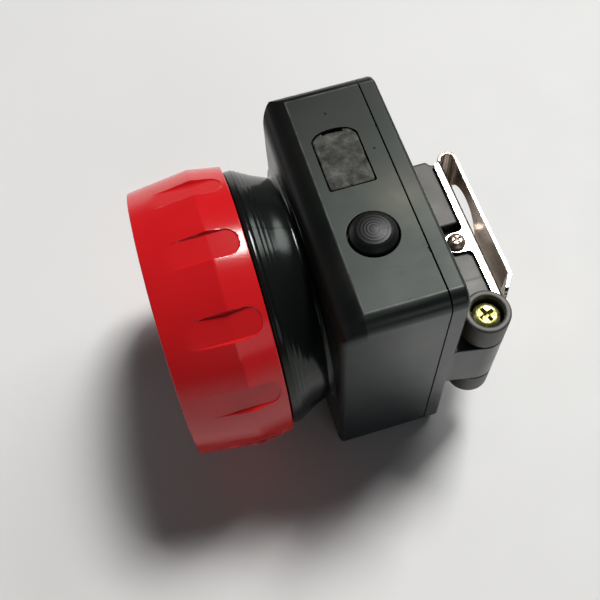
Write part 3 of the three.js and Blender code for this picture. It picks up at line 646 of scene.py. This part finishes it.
# ------------------------------------------------------------------ bezel ring
def build_bezel():
    R0, RC, RR = 30.2, 32.0, 30.8
    YC, YR = 13.8, 21.0
    k1, k2 = (RC - R0) / YC, (RC - RR) / (YR - YC)
    half = math.pi / 12 * 31.0
    fine = 3.75
    d_side = np.linspace(1.75, fine, 21)
    d_in = np.concatenate([-d_side[::-1], np.linspace(-1.75, 1.75, 13)[1:-1], d_side])
    d_out = np.linspace(fine, 2 * half - fine, 11)[1:-1]
    d = np.concatenate([d_in, d_out])
    d_rel = np.where(d > half, d - 2 * half, d)
    th = np.concatenate([25 * D2R + i * math.pi / 6 + d / 31.0 for i in range(12)])
    dist = np.tile(d_rel, 12)

    def outer(y):
        a, b = R0 + k1 * y, RC + k2 * (YC - y)
        return float(smin(np.array(a), np.array(b), 0.10))

    def floor_r(y):
        return min(30.86 + (y - 5.5) * 0.022, 31.04 - (y - YC) * 0.030)

    ys = list(np.linspace(0.5, 5.0, 8)) + list(np.linspace(5.4, 13.2, 17)) + list(np.linspace(13.35, 14.25, 9)) \
        + list(np.linspace(14.6, 16.6, 5)) + list(np.linspace(16.8, 20.2, 28)) + [20.4, 20.6]
    rows = []
    n = len(th)
    # front lip, from the inside
    for r, y in fillet([(26.0, 1.6), (26.0, 0.0, 0.45), (R0 - 0.005, 0.0, 0.32), (R0 + k1 * 0.45, 0.45)], closed=False, step=15)[:-1]:
        rows.append(np.stack([np.full(n, r), np.full(n, y)], 1))
    for y in ys:
        ro = outer(y)
        r = np.full(n, ro)
        if 4.8 < y < 20.25:
            rf = floor_r(y) + dist ** 2 / 62.0
            q = np.where(y < 17.4, np.abs(dist) - 2.95, np.hypot(dist, (y - 17.4) * 1.2) - 2.95)
            wall = rf + (q + 0.13) * 4.0
            r = smin(np.full(n, ro), smax(rf, wall, 0.14), 0.15)
            r = np.where(np.abs(dist) > 3.7, ro, np.minimum(r, ro))
        rows.append(np.stack([r, np.full(n, y)], 1))
    for r, y in fillet([(outer(20.6), 20.6), (RR + 0.02, YR, 0.35), (29.2, YR, 0.25), (29.2, 20.0)], closed=False, step=18)[1:]:
        rows.append(np.stack([np.full(n, r), np.full(n, y)], 1))
    # inner thread of the bezel (crests at 29.2, roots at 29.7) with a plain front part
    t = (th - th[0]) / (2 * math.pi)
    for y in np.arange(19.8, 8.6, -0.4):
        ph = ((y - 2.0 * t) / 2.0) % 1.0
        tri = np.clip(1 - np.abs(ph - 0.5) * 4.0, 0, 1)
        fade = min(1.0, (19.8 - y) / 0.8, (y - 8.6) / 0.8)
        rows.append(np.stack([29.2 + 0.42 * fade * tri, np.full(n, y)], 1))
    for r, y in [(29.2, 8.3), (29.2, 6.2), (29.1, 6.0), (28.3, 6.0), (28.3, 1.75), (28.15, 1.6)]:
        rows.append(np.stack([np.full(n, r), np.full(n, y)], 1))
    loops = []
    for rw in rows:
        loops.append(np.stack([rw[:, 0] * np.cos(th), rw[:, 1], rw[:, 0] * np.sin(th)], 1))
    return loft("bezel_fluted", loops, closed_rows=True)


piece(build_bezel(), "bezel", "bezel_ring", RED, 32, weighted=False)

# ------------------------------------------------------------------ lens and seal
lens = turn("lens_disc", fillet([(0, 1.9), (28.0, 1.9, 0.4), (28.0, 4.4, 0.3), (0, 4.4)], closed=False), n=144)
piece(lens, "lens_pack", "lens", LENS)
oring = turn("lens_seal", [(27.0 + 0.88 * math.cos(a), 5.58 + 0.88 * math.sin(a)) for a in np.linspace(0, 2 * math.pi, 20, endpoint=False)], n=144)
piece(oring, "lens_pack", "lens_oring", RUBBER)

# ------------------------------------------------------------------ front housing
HX, HZ, ER = 29.4, 32.0, 3.3
CRISP = 13.0 * D2R  # the long roundings start this steep, so they leave a crisp line on the flat side


def corner(p, du, dv, ru, rv, n=14, both=False):
    """points of one rounded corner at p; du and dv point back along the two sides, the crisp start lies on the side along du"""
    end = math.pi / 2 - (CRISP if both else 0.0)
    t0, t1 = CRISP, end
    pts = []
    for j in range(n + 1):
        a = t0 + (t1 - t0) * j / n
        fu = (math.sin(a) - math.sin(t0)) / (math.sin(t1) - math.sin(t0))
        fv = (math.cos(t0) - math.cos(a)) / (math.cos(t0) - math.cos(t1))
        pts.append((p[0] + du[0] * ru * (1 - fu) + dv[0] * rv * fv, p[1] + du[1] * ru * (1 - fu) + dv[1] * rv * fv))
    return pts


def crisp_ends(pts, r=0.9):
    """softens only the first point of a rounded corner"""
    return [(pts[0][0], pts[0][1], r)] + pts[1:]


def case_outline(d=0.0):
    """X, Z outline of the case: crisp line on the +-Z sides, soft run into the ends"""
    hx, hz = HX - d, HZ - d
    out = []
    for sx, sz in ((1, 1), (-1, 1), (-1, -1), (1, -1)):
        c = crisp_ends(corner((sx * hx, sz * hz), (-sx, 0), (0, -sz), ER, ER))
        out += c[::-1] if (sx * sz) > 0 else c
    return fillet(out, step=4)


def side_outline():
    """Y, Z outline: large front rounding with a crisp line on the button side and under side"""
    top = crisp_ends(corner((32.0, HZ), (1, 0), (0, -1), 5.5, 5.5, 18))
    bot = crisp_ends(corner((32.0, -HZ), (1, 0), (0, 1), 5.5, 5.5, 18))
    return fillet([(60.0, -HZ)] + bot + top[::-1] + [(60.0, HZ)], step=4)


def end_outline():
    """X, Y outline: small rounding at the hinge end, large at the far end"""
    return fillet([(HX, 60.0), (HX, 32.0, 1.6), (-HX, 32.0, 5.6), (-HX, 60.0)], step=5)


def build_housing():
    case = prism("housing_shell", case_outline(), 31.0, 53.7, "XZ", 0.0, 0.13, 3)
    bool_op(case, [prism("t", side_outline(), -40.0, 40.0, "YZ"), prism("t", end_outline(), -40.0, 40.0, "XY")], "INTERSECT")
    n = 448
    phi = np.arange(n) * 2 * math.pi / n
    loops = []

    def ring(r, y):
        r = np.full(n, r) if np.isscalar(r) else r
        loops.append(np.stack([r * np.cos(phi), np.full(n, y), r * np.sin(phi)], 1))

    for r, y in fillet([(27.2, 6.8), (28.0, 6.8, 0.3), (28.25, 7.6)], closed=False, step=20):
        ring(r, y)
    turns = phi / (2 * math.pi)
    for y in np.arange(8.0, 20.3, 0.25):
        ph = ((y - 2.0 * turns) / 2.0) % 1.0
        tri = np.clip(1.15 - np.abs(ph - 0.5) * 4.0, 0, 1)
        fade = max(0.0, min(1.0, (y - 8.0) / 1.0, (20.2 - y) / 1.0))
        ring(28.25 + 0.5 * fade * tri, y)
    # collar, cone with fine turned ridges, fillet into the case front
    prof = fillet([(28.25, 20.4), (28.25, 21.35, 0.15), (29.35, 21.35, 0.25), (29.4, 23.2, 1.6), (27.2, 27.3, 9.0), (25.25, 31.97, 2.1), (28.4, 32.0)], closed=False, step=6)
    seg = np.concatenate([[0], np.cumsum(np.linalg.norm(np.diff(prof, axis=0), axis=1))])
    s = np.unique(np.round(np.concatenate([seg, np.arange(0.0, seg[-1], 0.2)]), 5))
    pr = np.interp(s, seg, prof[:, 0])
    py = np.interp(s, seg, prof[:, 1])
    keep = pr[-1] - 0.6
    d = (phi - SEAM) * 28.0
    flash = np.exp(-(d / 0.13) ** 2)
    side = np.where(np.abs(phi - SEAM) < 1.2, 1.0 / (1.0 + np.exp(np.clip(d / 0.10, -40, 40))), 0.0)
    for r, y in zip(pr, py):
        if y > 31.9 and r > keep:
            continue
        ridge = 0.0
        for yc, hgt in ((22.1, 0.075), (22.95, 0.085), (23.8, 0.075), (24.7, 0.05), (25.7, 0.03)):
            ridge += hgt * math.exp(-((y - yc) / 0.16) ** 2)
        f = max(0.0, min(1.0, (y - 21.6) / 0.4, (31.3 - y) / 0.6))
        ring(r + ridge + f * (0.05 * flash + 0.03 * side), y)
    ring(27.85, 32.001)
    ring(27.5, 33.2)
    neck = loft("t", loops, cap0=True, cap1=True)
    bool_op(case, [neck], "UNION")
    cuts = [turn("t", [(0, 5.0), (26.0, 5.0), (26.0, 9.0), (25.2, 9.0), (25.2, 21.0), (23.2, 30.5), (23.2, 36.5), (0, 36.5)], n=192)]
    cuts.append(prism("t", rect(-HX + 2.2, HX - 2.2, -HZ + 2.2, HZ - 2.2, 1.2), 34.8, 56.0, "XZ"))
    bool_op(case, cuts)
    adds, cuts = [], []
    for sx, sz in ((1, 1), (-1, 1), (-1, -1), (1, -1)):
        adds.append(turn("t", [(0, 34.3), (3.6, 34.3), (3.6, 53.3), (0, 53.3)], at=(24.0 * sx, 26.5 * sz), n=32))
        cuts.append(turn("t", [(0, 44.0), (1.25, 44.0), (1.25, 55.0), (0, 55.0)], at=(24.0 * sx, 26.5 * sz), n=24))
    bool_op(case, adds, "UNION")
    # seal groove
    g = prism("t", rect(-28.75, 28.75, -31.35, 31.35, 2.6), 52.8, 54.5, "XZ")
    bool_op(g, [prism("t", rect(-27.8, 27.8, -30.4, 30.4, 1.7), 52.0, 55.0, "XZ")])
    cuts.append(g)
    # button hole with a small flared rim
    cuts.append(turn("t", [(0, 27.0), (5.2, 27.0), (5.2, 31.84), (5.27, 31.95), (5.42, 32.02), (5.42, 33.0), (0, 33.0)], "Z", (10.3, 44.7), 96))
    cuts.append(port_prism("t", 0.0, 30.5, 32.6, 0.0))
    cuts.append(block("t", -9.0 - 4.2, -9.0 + 4.2, 44.6 - 1.8, 44.6 + 1.8, 28.0, 31.0, 0.3))
    # two small marks on the button side and two nicks in the parting line
    for x, y, r in ((-20.6, 44.6, 0.34), (-9.0, 51.45, 0.30), (-14.1, 35.4, 0.2)):
        cuts.append(turn("t", [(0, 31.86), (r * 0.55, 31.9), (r, 32.01), (r * 1.3, 32.3), (0, 32.5)], "Z", (x, y), 20))
    cuts.append(block("t", 16.3, 17.5, 53.35, 54.5, 31.55, 32.5, 0.15))
    cuts.append(block("t", -14.6, -13.9, 53.5, 54.5, 31.7, 32.5, 0.1))
    bool_op(case, cuts)
    return case


def port_outline(gap):
    x0, x1, y0, y1 = -14.1, -1.4 - gap, 39.6 + gap, 49.6 - gap
    tip, mid = -16.5 + gap, 44.6
    pts = [np.array((x1, y0)), np.array((x1, y1))]

    def quad(a, b, c, k=9):
        for j in range(k + 1):
            t = j / k
            yield (1 - t) ** 2 * np.array(a) + 2 * t * (1 - t) * np.array(b) + t * t * np.array(c)

    pts += list(quad((x0, y1), (tip, y1 - 0.9), (tip, mid)))
    pts += list(quad((tip, mid), (tip, y0 + 0.9), (x0, y0)))[1:]
    P = [tuple(p) for p in pts]
    P[0] = (*P[0], 0.5)
    P[1] = (*P[1], 0.5)
    return fillet(P, step=20)


def port_prism(name, gap, z0, z1, b):
    return prism(name, port_outline(gap), z0, z1, "XY", 0.0, b)


SEAM = 89.0 * D2R
piece(build_housing(), "housing", "front_housing", BLACK, 28)

# ------------------------------------------------------------------ rear cover with web and fixed knuckle
HGX, HGY = 25.65, 64.6


def knuckle_bore(r, z0, z1):
    return turn("t", [(0, z0), (r, z0), (r, z1), (0, z1)], "Z", (HGX, HGY), 48)


def build_cover():
    ob = prism("rear_shell", case_outline(), 53.9, 57.7, "XZ", 0.13, 1.1, 6)
    # web and knuckle, flush with the case end
    out = [(18.8, 56.2), (29.4, 56.2), (29.4, 58.0)]
    for a in np.linspace(-11, 214, 60):
        out.append((HGX + 4.9 * math.cos(a * D2R), HGY + 4.9 * math.sin(a * D2R)))
    out.append((19.6, 58.6))
    out.append((18.8, 57.6))
    web = prism("t", np.array(out), -8.0, 8.0, "XY", 0.3, 0.3, 3)
    bool_op(ob, [web], "UNION")
    cuts = [prism("t", rect(-27.0, 27.0, -29.6, 29.6, 1.2), 53.0, 55.5, "XZ")]
    bool_op(ob, cuts)
    adds = []
    for sx, sz in ((1, 1), (-1, 1), (-1, -1), (1, -1)):
        adds.append(turn("t", [(0, 53.95), (3.6, 53.95), (3.6, 56.0), (0, 56.0)], at=(24.0 * sx, 26.5 * sz), n=32))
    bool_op(ob, adds, "UNION")
    cuts = [knuckle_bore(1.58, -10, 10)]
    for sx, sz in ((1, 1), (-1, 1), (-1, -1), (1, -1)):
        cuts.append(turn("t", [(0, 52.0), (1.3, 52.0), (1.3, 56.0), (2.6, 56.0), (2.6, 57.45), (2.85, 57.75), (2.85, 59.0), (0, 59.0)], at=(24.0 * sx, 26.5 * sz), n=48))
    bool_op(ob, cuts)
    return ob


piece(build_cover(), "housing", "rear_cover", BLACK, 28)


# ------------------------------------------------------------------ screws
def wing(axis, at, top, L, w, depth, turned):
    """one tapered wing of a Phillips recess; axis Z or Y, opening upwards at height top"""
    v = []
    for h, l, ww in ((top + 0.4, L * 1.12, w * 1.05), (top - depth, L * 0.42, w * 0.7)):
        for a, b in ((-l, -ww), (l, -ww), (l, ww), (-l, ww)):
            if turned:
                a, b = b, a
            c, s = math.cos(0.35), math.sin(0.35)
            a, b = a * c - b * s, a * s + b * c
            v.append((at[0] + a, at[1] + b, h) if axis == "Z" else (at[0] + a, h, at[1] + b))
    return obj_from("t", v, [(0, 1, 2, 3), (4, 5, 6, 7), (0, 1, 5, 4), (1, 2, 6, 5), (2, 3, 7, 6), (3, 0, 4, 7)])


def screw(name, axis, at, head_r, z0, z1, shank_r, shank_end, pitch=0.7, flip=False, dome=0.55, plain=False, soft=0.5):
    """pan head with a Phillips recess and a threaded shank"""
    h = z1 - z0
    prof = [(0, shank_end), (shank_r * 0.7, shank_end)]
    z = shank_end + 0.3
    if plain:
        prof += [(shank_r, shank_end + 0.25)]
    else:
        stop = min(z0 - 0.6, shank_end + 14)
        while z < stop:
            prof += [(shank_r * 0.86, z), (shank_r, z + pitch * 0.4), (shank_r, z + pitch * 0.55)]
            z += pitch
        prof += [(shank_r * 0.9, z)]
    prof += [(shank_r * (1.0 if plain else 0.9), z0)]
    prof = [(r, y) for r, y in prof]
    head = fillet([(shank_r, z0), (head_r, z0, 0.12), (head_r, z0 + h * (0.95 - soft), h * soft), (head_r * dome, z1 - h * 0.02, head_r * 0.4), (0, z1)], closed=False, step=10)
    prof = prof + [tuple(p) for p in head]
    ob = turn(name, prof, axis, at, 64)
    if flip:
        me = ob.data
        for v in me.vertices:  # mirror about z = 0 of the design frame
            v.co.z = 0.064 - v.co.z
        me.flip_normals()
        zt = None
        a = wing("Z", at, z1, head_r * 0.62, head_r * 0.155, h * 0.75, False)
        b = wing("Z", at, z1, head_r * 0.62, head_r * 0.155, h * 0.75, True)
        for o in (a, b):
            for v in o.data.vertices:
                v.co.z = 0.064 - v.co.z
            o.data.flip_normals()
        bool_op(ob, [a, b])
    else:
        bool_op(ob, [wing(axis, at, z1, head_r * 0.62, head_r * 0.155, h * 0.75, False),
                     wing(axis, at, z1, head_r * 0.62, head_r * 0.155, h * 0.75, True)])
    return ob


POSTS = [(24, 26.5), (-24, 26.5), (-24, -26.5), (24, -26.5)]
for i, (x, z) in enumerate(POSTS):
    s = screw(f"cover_fixing_{i + 1}", "Y", (x, z), 2.25, 56.2, 57.6, 1.1, 46.0)
    piece(s, "housing", f"cover_screw_{i + 1}", NICKEL, 35)
piece(screw("clip_fixing_near", "Z", (6.5, 65.8), 2.05, 12.15, 13.5, 1.15, 6.0), "clip_seat", "clip_screw_near", SCREWSTEEL, 35)
piece(screw("clip_fixing_far", "Z", (6.5, 65.8), 2.05, 12.15, 13.5, 1.15, 6.0, flip=True), "clip_seat", "clip_screw_far", SCREWSTEEL, 35)
piece(screw("hinge_pin_screw", "Z", (HGX, HGY), 2.95, 12.95, 14.5, 1.5, -15.6, plain=True, dome=0.72, soft=0.28), "clip_seat", "hinge_screw", ZINC, 35)
piece(turn("hinge_plain_washer", fillet([(1.7, 12.3, 0.08), (3.1, 12.3, 0.1), (3.1, 12.85, 0.1), (1.7, 12.85, 0.08)], step=30), "Z", (HGX, HGY), 64), "clip_seat", "hinge_washer", NICKEL)


def build_nut():
    hexa = [(HGX + 3.1 * math.cos(a * D2R), HGY + 3.1 * math.sin(a * D2R), 0.15) for a in range(0, 360, 60)]
    ob = prism("hinge_hex_nut", fillet(hexa, step=20), -15.5, -13.2, "XY", 0.25, 0.1, 3)
    prof = [(0, -17.0), (1.9, -17.0), (1.9, -15.5), (1.58, -15.2)]
    prof += [(1.58, -13.4), (1.8, -13.1), (1.8, -12.0), (0, -12.0)]
    bool_op(ob, [turn("t", prof, "Z", (HGX, HGY), 48)])
    return ob


piece(build_nut(), "clip_seat", "hinge_nut", ZINC, 30)


# ------------------------------------------------------------------ button, seal, port pad
def build_button():
    bx, by = 10.3, 44.7
    prof = [(0, 23.7), (1.35, 23.7), (1.6, 23.95), (1.6, 27.4)]
    prof += [tuple(p) for p in fillet([(1.7, 27.6), (6.2, 27.6, 0.15), (6.2, 28.6, 0.15), (4.85, 28.6, 0.15), (4.85, 31.55), (4.83, 32.55, 0.9), (3.85, 33.38, 0.9), (3.3, 33.66, 0.3), (2.9, 33.70)], closed=False, step=8)]
    for r in np.arange(2.88, 0.0, -0.06):
        z = 33.97 - 0.030 * r * r
        z -= 0.017 * (0.5 + 0.5 * math.cos(2 * math.pi * (r - 0.36) / 0.62)) if r > 0.5 else -0.0
        prof.append((r, min(z, 33.985)))
    prof.append((0.0, 33.985))
    return turn("button_cap", prof, "Z", (bx, by), 128)


piece(build_button(), "button", "push_button", BUTTON, 40, weighted=False)
piece(turn("button_ring_seal", fillet([(5.35, 28.75, 0.2), (6.4, 28.75, 0.2), (6.4, 29.4, 0.2), (5.35, 29.4, 0.2)], step=30), "Z", (10.3, 44.7), 96), "button", "button_seal", RUBBER)


def build_pad():
    f = Field((-17.4, 38.8, 29.2), (-0.6, 50.4, 32.8), 0.14)
    d2 = f.poly(port_outline(0.25))
    d = f.pull(d2, 30.7, 32.0, 0.28)
    d = smin(d, f.box(-12.7, -5.6, 43.3, 45.9, 29.75, 31.4, 0.2), 0.1)
    rng = np.random.RandomState(7)
    wave = np.zeros(f.X[:, :, 0].shape)
    for _ in range(26):
        k = rng.uniform(0.35, 2.6)
        a = rng.uniform(0, 2 * math.pi)
        ph = rng.uniform(0, 2 * math.pi)
        wave += (0.024 / (0.6 + k)) * np.sin(k * (f.X[:, :, 0] * math.cos(a) + f.Y[:, :, 0] * math.sin(a)) + ph)
    wave = np.minimum(wave, 0.04) - 0.05
    top = np.clip((f.Z - 31.2) / 0.6, 0, 1)
    d = d - np.minimum(wave[:, :, None] * top, 0.0)
    # nail notch at the arched end, small bruise at the flat end
    d = smax(d, -f.box(-17.4, -15.35, 42.4, 46.7, 31.15, 33.0, 0.15), 0.1)
    d = smax(d, -(np.sqrt((f.X + 1.75) ** 2 + (f.Y - 44.3) ** 2 + (f.Z - 32.1) ** 2) - 0.42), 0.1)
    d = smax(d, f.Z - 31.985, 0.02)
    return f.mesh("port_pad", d)


piece(build_pad(), "port_flap", "port_cover", PAD, 60, weighted=False)


# ------------------------------------------------------------------ hook seat
def build_seat():
    f = Field((-17.6, 57.6, -16.9), (31.4, 70.4, 16.9), 0.25)
    body2 = f.poly(fillet([(-16.7, 58.5, 0.8), (17.6, 58.5), (20.0, 62.6), (20.0, 69.6), (-15.2, 69.6), (-15.6, 68.2, 0.3), (-16.7, 67.6, 0.9)], step=15))
    d = f.pull(body2, -11.0, 11.0, 0.55)
    arm2 = f.poly([(15.5, 60.0), (17.6, 58.5), (21.2, 61.6), (25.65, 60.4), (25.65, 69.4), (22.0, 69.6), (15.5, 69.6)])
    for s in (1, -1):
        z0, z1 = (8.3, 11.0) if s > 0 else (-11.0, -8.3)
        d = smin(d, f.pull(arm2, z0, z1, 0.3), 0.25)
    for s in (1, -1):
        z0, z1 = (8.3, 16.0) if s > 0 else (-16.0, -8.3)
        d = smin(d, f.rod(HGX, HGY, 4.9, z0, z1, 0.35), 0.5)
    # relief for the fixed knuckle and its web
    d = smax(d, -f.rod(HGX, HGY, 5.4, -8.3, 8.3, 0.0), 0.15)
    d = smax(d, -f.box(20.0, 32.0, 55.0, 64.6, -8.3, 8.3), 0.15)
    # cored pocket, open to the cover
    for x in (-14.6, -9.2, -3.8):
        d = smax(d, -f.box(x, x + 4.2, 52.0, 67.4, -8.0, 8.0, 0.4), 0.3)
    # side notches beside the lugs
    for s in (1, -1):
        a, b = (8.4, 14.0) if s > 0 else (-14.0, -8.4)
        d = smax(d, -f.box(1.2, 3.2, 61.0, 73.0, a, b, 0.2), 0.45)
        a, b = (5.2, 14.0) if s > 0 else (-14.0, -5.2)
        d = smax(d, -f.rod(6.5, 65.8, 1.35, a, b), 0.1)
    d = smax(d, -f.rod(HGX, HGY, 1.62, -18, 18), 0.12)
    d = smax(d, -f.rod(HGX, HGY, 3.5, 12.2, 19.0), 0.30)
    hexa = f.poly([(HGX + 3.35 * math.cos(a * D2R), HGY + 3.35 * math.sin(a * D2R)) for a in range(0, 360, 60)])
    d = smax(d, -f.pull(hexa, -19.0, -13.1), 0.2)
    return f.mesh("seat_block", d)


piece(build_seat(), "clip_seat", "hook_seat", SEATBLACK, 70, weighted=False)


# ------------------------------------------------------------------ steel clip
def build_plate():
    t, ro, ri = 0.8, 1.15, 0.35
    # U section in (Z, Y)
    sec = fillet([(12.0, 62.0), (12.0, 70.7, ro), (-12.0, 70.7, ro), (-12.0, 62.0), (-12.0 + t, 62.0), (-12.0 + t, 70.7 - t, ri), (12.0 - t, 70.7 - t, ri), (12.0 - t, 62.0)], step=15)
    ob = prism("clip_base", np.array([(y, z) for z, y in sec]), -14.8, 22.0, "YZ")
    L = [(-14.8, 68.6, 0.5), (3.2, 68.6, 0.5), (3.95, 67.8, 0.5)]
    for a in np.linspace(172, 368, 40):
        L.append((6.5 + 2.45 * math.cos(a * D2R), 65.8 + 2.45 * math.sin(a * D2R)))
    L += [(9.05, 67.8, 0.5), (9.8, 68.55, 0.6), (20.6, 68.6, 0.8), (22.0, 70.1, 0.3), (22.0, 71.5), (-14.8, 71.5)]
    bool_op(ob, [prism("t", fillet(L, step=20), -13, 13, "XY")], "INTERSECT")
    bool_op(ob, [turn("t", [(0, -14), (1.35, -14), (1.35, 14), (0, 14)], "Z", (6.5, 65.8), 40)])
    # three shallow pressed ribs cannot be seen; the plate stays plain
    return ob


def build_blade():
    t, ro = 0.8, 2.25
    cx, cy = -15.1, 72.15
    outer_arc = [(cx + ro * math.cos(a), cy + ro * math.sin(a)) for a in np.linspace(1.5 * math.pi, 0.5 * math.pi, 33)]
    inner_arc = [(cx + (ro - t) * math.cos(a), cy + (ro - t) * math.sin(a)) for a in np.linspace(0.5 * math.pi, 1.5 * math.pi, 33)]
    lip_o = fillet([(0.0, 74.4), (17.1, 74.4, 1.4), (21.5, 71.5), (21.0, 70.95)], closed=False, step=8)[1:]
    lip_i = fillet([(21.0, 70.95), (16.75, 73.6, 0.7), (0.0, 73.6)], closed=False, step=8)[1:-1]
    out = [tuple(p) for p in outer_arc] + [tuple(p) for p in lip_o] + [tuple(p) for p in lip_i] + [tuple(p) for p in inner_arc]
    ob = prism("spring_blade", np.array(out), -12.0, 12.0, "XY", 0.13, 0.13, 3)
    hole = turn("t", [(0, 73.0), (8.05, 73.0), (8.05, 73.55), (7.9, 73.7), (7.9, 74.3), (8.05, 74.45), (8.05, 75.2), (0, 75.2)], "Y", (-6.1, 0), 128)
    bool_op(ob, [hole])
    bool_op(ob, [prism("t", fillet([(-30, -13), (21.62, -12.01, 2.2), (21.62, 12.01, 2.2), (-30, 13)], step=12), 60, 80, "XZ")], "INTERSECT")
    return ob


piece(build_plate(), "clip_seat", "clip_plate", NICKEL, 30)
piece(build_blade(), "clip_spring", "clip_blade", BLADE, 30)


# ------------------------------------------------------------------ reflector, light source
def build_reflector():
    prof = []
    for r in np.linspace(3.6, 23.8, 60):
        prof.append((r, 25.0 - r * r / 33.4))
    prof += [(24.1, 7.45), (25.6, 7.4), (25.7, 7.5), (25.7, 8.6), (25.6, 8.7), (24.6, 8.7)]
    for r in np.linspace(24.6, 6.6, 24)[1:]:
        prof.append((r, min(25.85 - r * r / 33.4, 24.7)))
    prof += [(3.6, 24.7)]
    return turn("reflector_bowl", prof, "Y", (0, 0), 192)


piece(build_reflector(), "housing", "reflector", PLATING, 35, weighted=False)


def build_led():
    ob = block("led_package", -2.5, 2.5, 24.9, 25.5, -2.5, 2.5, 0.1, 0.3)
    dome = [(0, 23.0)] + [(1.5 * math.sin(a), 24.5 - 1.5 * math.cos(a)) for a in np.linspace(0, math.pi / 2, 12)[1:]] + [(1.5, 25.2), (0, 25.2)]
    bool_op(ob, [turn("t", dome, "Y", (0, 0), 48)], "UNION")
    return ob


piece(build_led(), "housing", "main_led", PHOSPHOR, 35)
sink = turn("heat_sink_disc", fillet([(0, 27.2), (18, 27.2, 0.2), (18, 28.4, 0.15), (20.5, 28.4, 0.2), (20.5, 30.4, 0.2), (0, 30.4)], closed=False, step=25), n=96)
bool_op(sink, [turn("t", [(0, 26), (1.6, 26), (1.6, 32), (0, 32)], at=(x, 0), n=24) for x in (12.5, -12.5)])
piece(sink, "housing", "heat_sink", ALU, 30)

# ------------------------------------------------------------------ carried-over CAD nodes
FINISH = {
    "housing_gasket": RUBBER, "switch_body": SWITCHMAT, "switch_plunger": PLUNGER, "main_pcb": GREENBOARD,
    "usb_socket": SHELL, "usb_tongue": TONGUE, "battery_cell": CELL, "battery_foam": FOAM, "battery_pcm": GREENBOARD,
    "led_wire_red": WIRE_RED, "led_wire_black": WIRE_BLACK, "battery_wire_red": WIRE_RED, "battery_wire_black": WIRE_BLACK,
    "led_board": WHITEBOARD,
}
for name, mat in FINISH.items():
    dress(NODES[name], mat)


# ------------------------------------------------------------------ floor, light, camera
def build_floor():
    n, s = 40, 1.5
    verts = [(-s + 2 * s * i / n, -s + 2 * s * j / n, 0.0) for j in range(n + 1) for i in range(n + 1)]
    faces = [(j * (n + 1) + i, j * (n + 1) + i + 1, (j + 1) * (n + 1) + i + 1, (j + 1) * (n + 1) + i) for j in range(n) for i in range(n)]
    me = bpy.data.meshes.new("floor")
    me.from_pydata(verts, [], faces)
    ob = bpy.data.objects.new("floor", me)
    scene.collection.objects.link(ob)
    dress(ob, mat_floor())


build_floor()


def area(name, direction, dist, size, power, color=(1, 1, 1), aim=(0, 0, 0.03), size_y=None):
    d = Vector(direction).normalized()
    L = bpy.data.lights.new(name, "AREA")
    L.shape = "RECTANGLE"
    L.size = size
    L.size_y = size_y or size
    L.energy = power
    L.color = color
    ob = bpy.data.objects.new(name, L)
    p = Vector(aim) + d * dist
    ob.location = p
    ob.rotation_euler = d.to_track_quat("Z", "Y").to_euler()
    scene.collection.objects.link(ob)
    return ob


area("window", (-0.335, 0.36, 0.87), 3.2, 0.90, 91.0, (1.0, 0.995, 0.98), size_y=0.79)
area("side_window", (-0.42, 0.66, 0.62), 3.2, 1.5, 30.0, (0.99, 1.0, 1.0), size_y=1.1)
area("wall", (-0.62, -0.74, 0.10), 2.5, 1.8, 7.0, (1.0, 0.98, 1.0), size_y=0.40)
area("near_wall", (0.84, 0.10, 0.50), 2.5, 1.6, 3.2, (0.93, 0.97, 1.0), size_y=0.9)

w = bpy.data.worlds.new("room")
w.use_nodes = True
wt = w.node_tree
wc = wt.nodes.new("ShaderNodeTexCoord")
ws = wt.nodes.new("ShaderNodeSeparateXYZ")
wr = wt.nodes.new("ShaderNodeValToRGB")
wt.links.new(wc.outputs["Generated"], ws.inputs[0])
wt.links.new(ws.outputs[2], wr.inputs["Fac"])
we = wr.color_ramp.elements
we[0].position, we[0].color = 0.0, (0.40, 0.403, 0.406, 1)
we[1].position, we[1].color = 0.40, (0.020, 0.021, 0.022, 1)
we.new(0.08).color = (0.20, 0.202, 0.204, 1)
we.new(0.20).color = (0.055, 0.056, 0.057, 1)
wt.links.new(wr.outputs["Color"], wt.nodes["Background"].inputs["Color"])
wt.nodes["Background"].inputs["Strength"].default_value = 1.0
scene.world = w

scene.view_settings.view_transform = "Standard"

cam = bpy.data.cameras.new("camera")
cam.sensor_width = 36.0
cam.lens = 836.587 / 600 * 36.0
cam.clip_start = 0.01
cam.clip_end = 10
co = bpy.data.objects.new("camera", cam)
right, up, back = (0.2865, 0.9573, -0.0375), (-0.8456, 0.2711, 0.4598), (0.4503, -0.1000, 0.8872)
b = Vector(back).normalized()
r = Vector(right)
r = (r - b * r.dot(b)).normalized()
u = b.cross(r)
M4 = Matrix(((r.x, u.x, b.x, 0.08938), (r.y, u.y, b.y, -0.02555), (r.z, u.z, b.z, 0.20126), (0, 0, 0, 1)))
co.matrix_world = M4
scene.collection.objects.link(co)
scene.camera = co
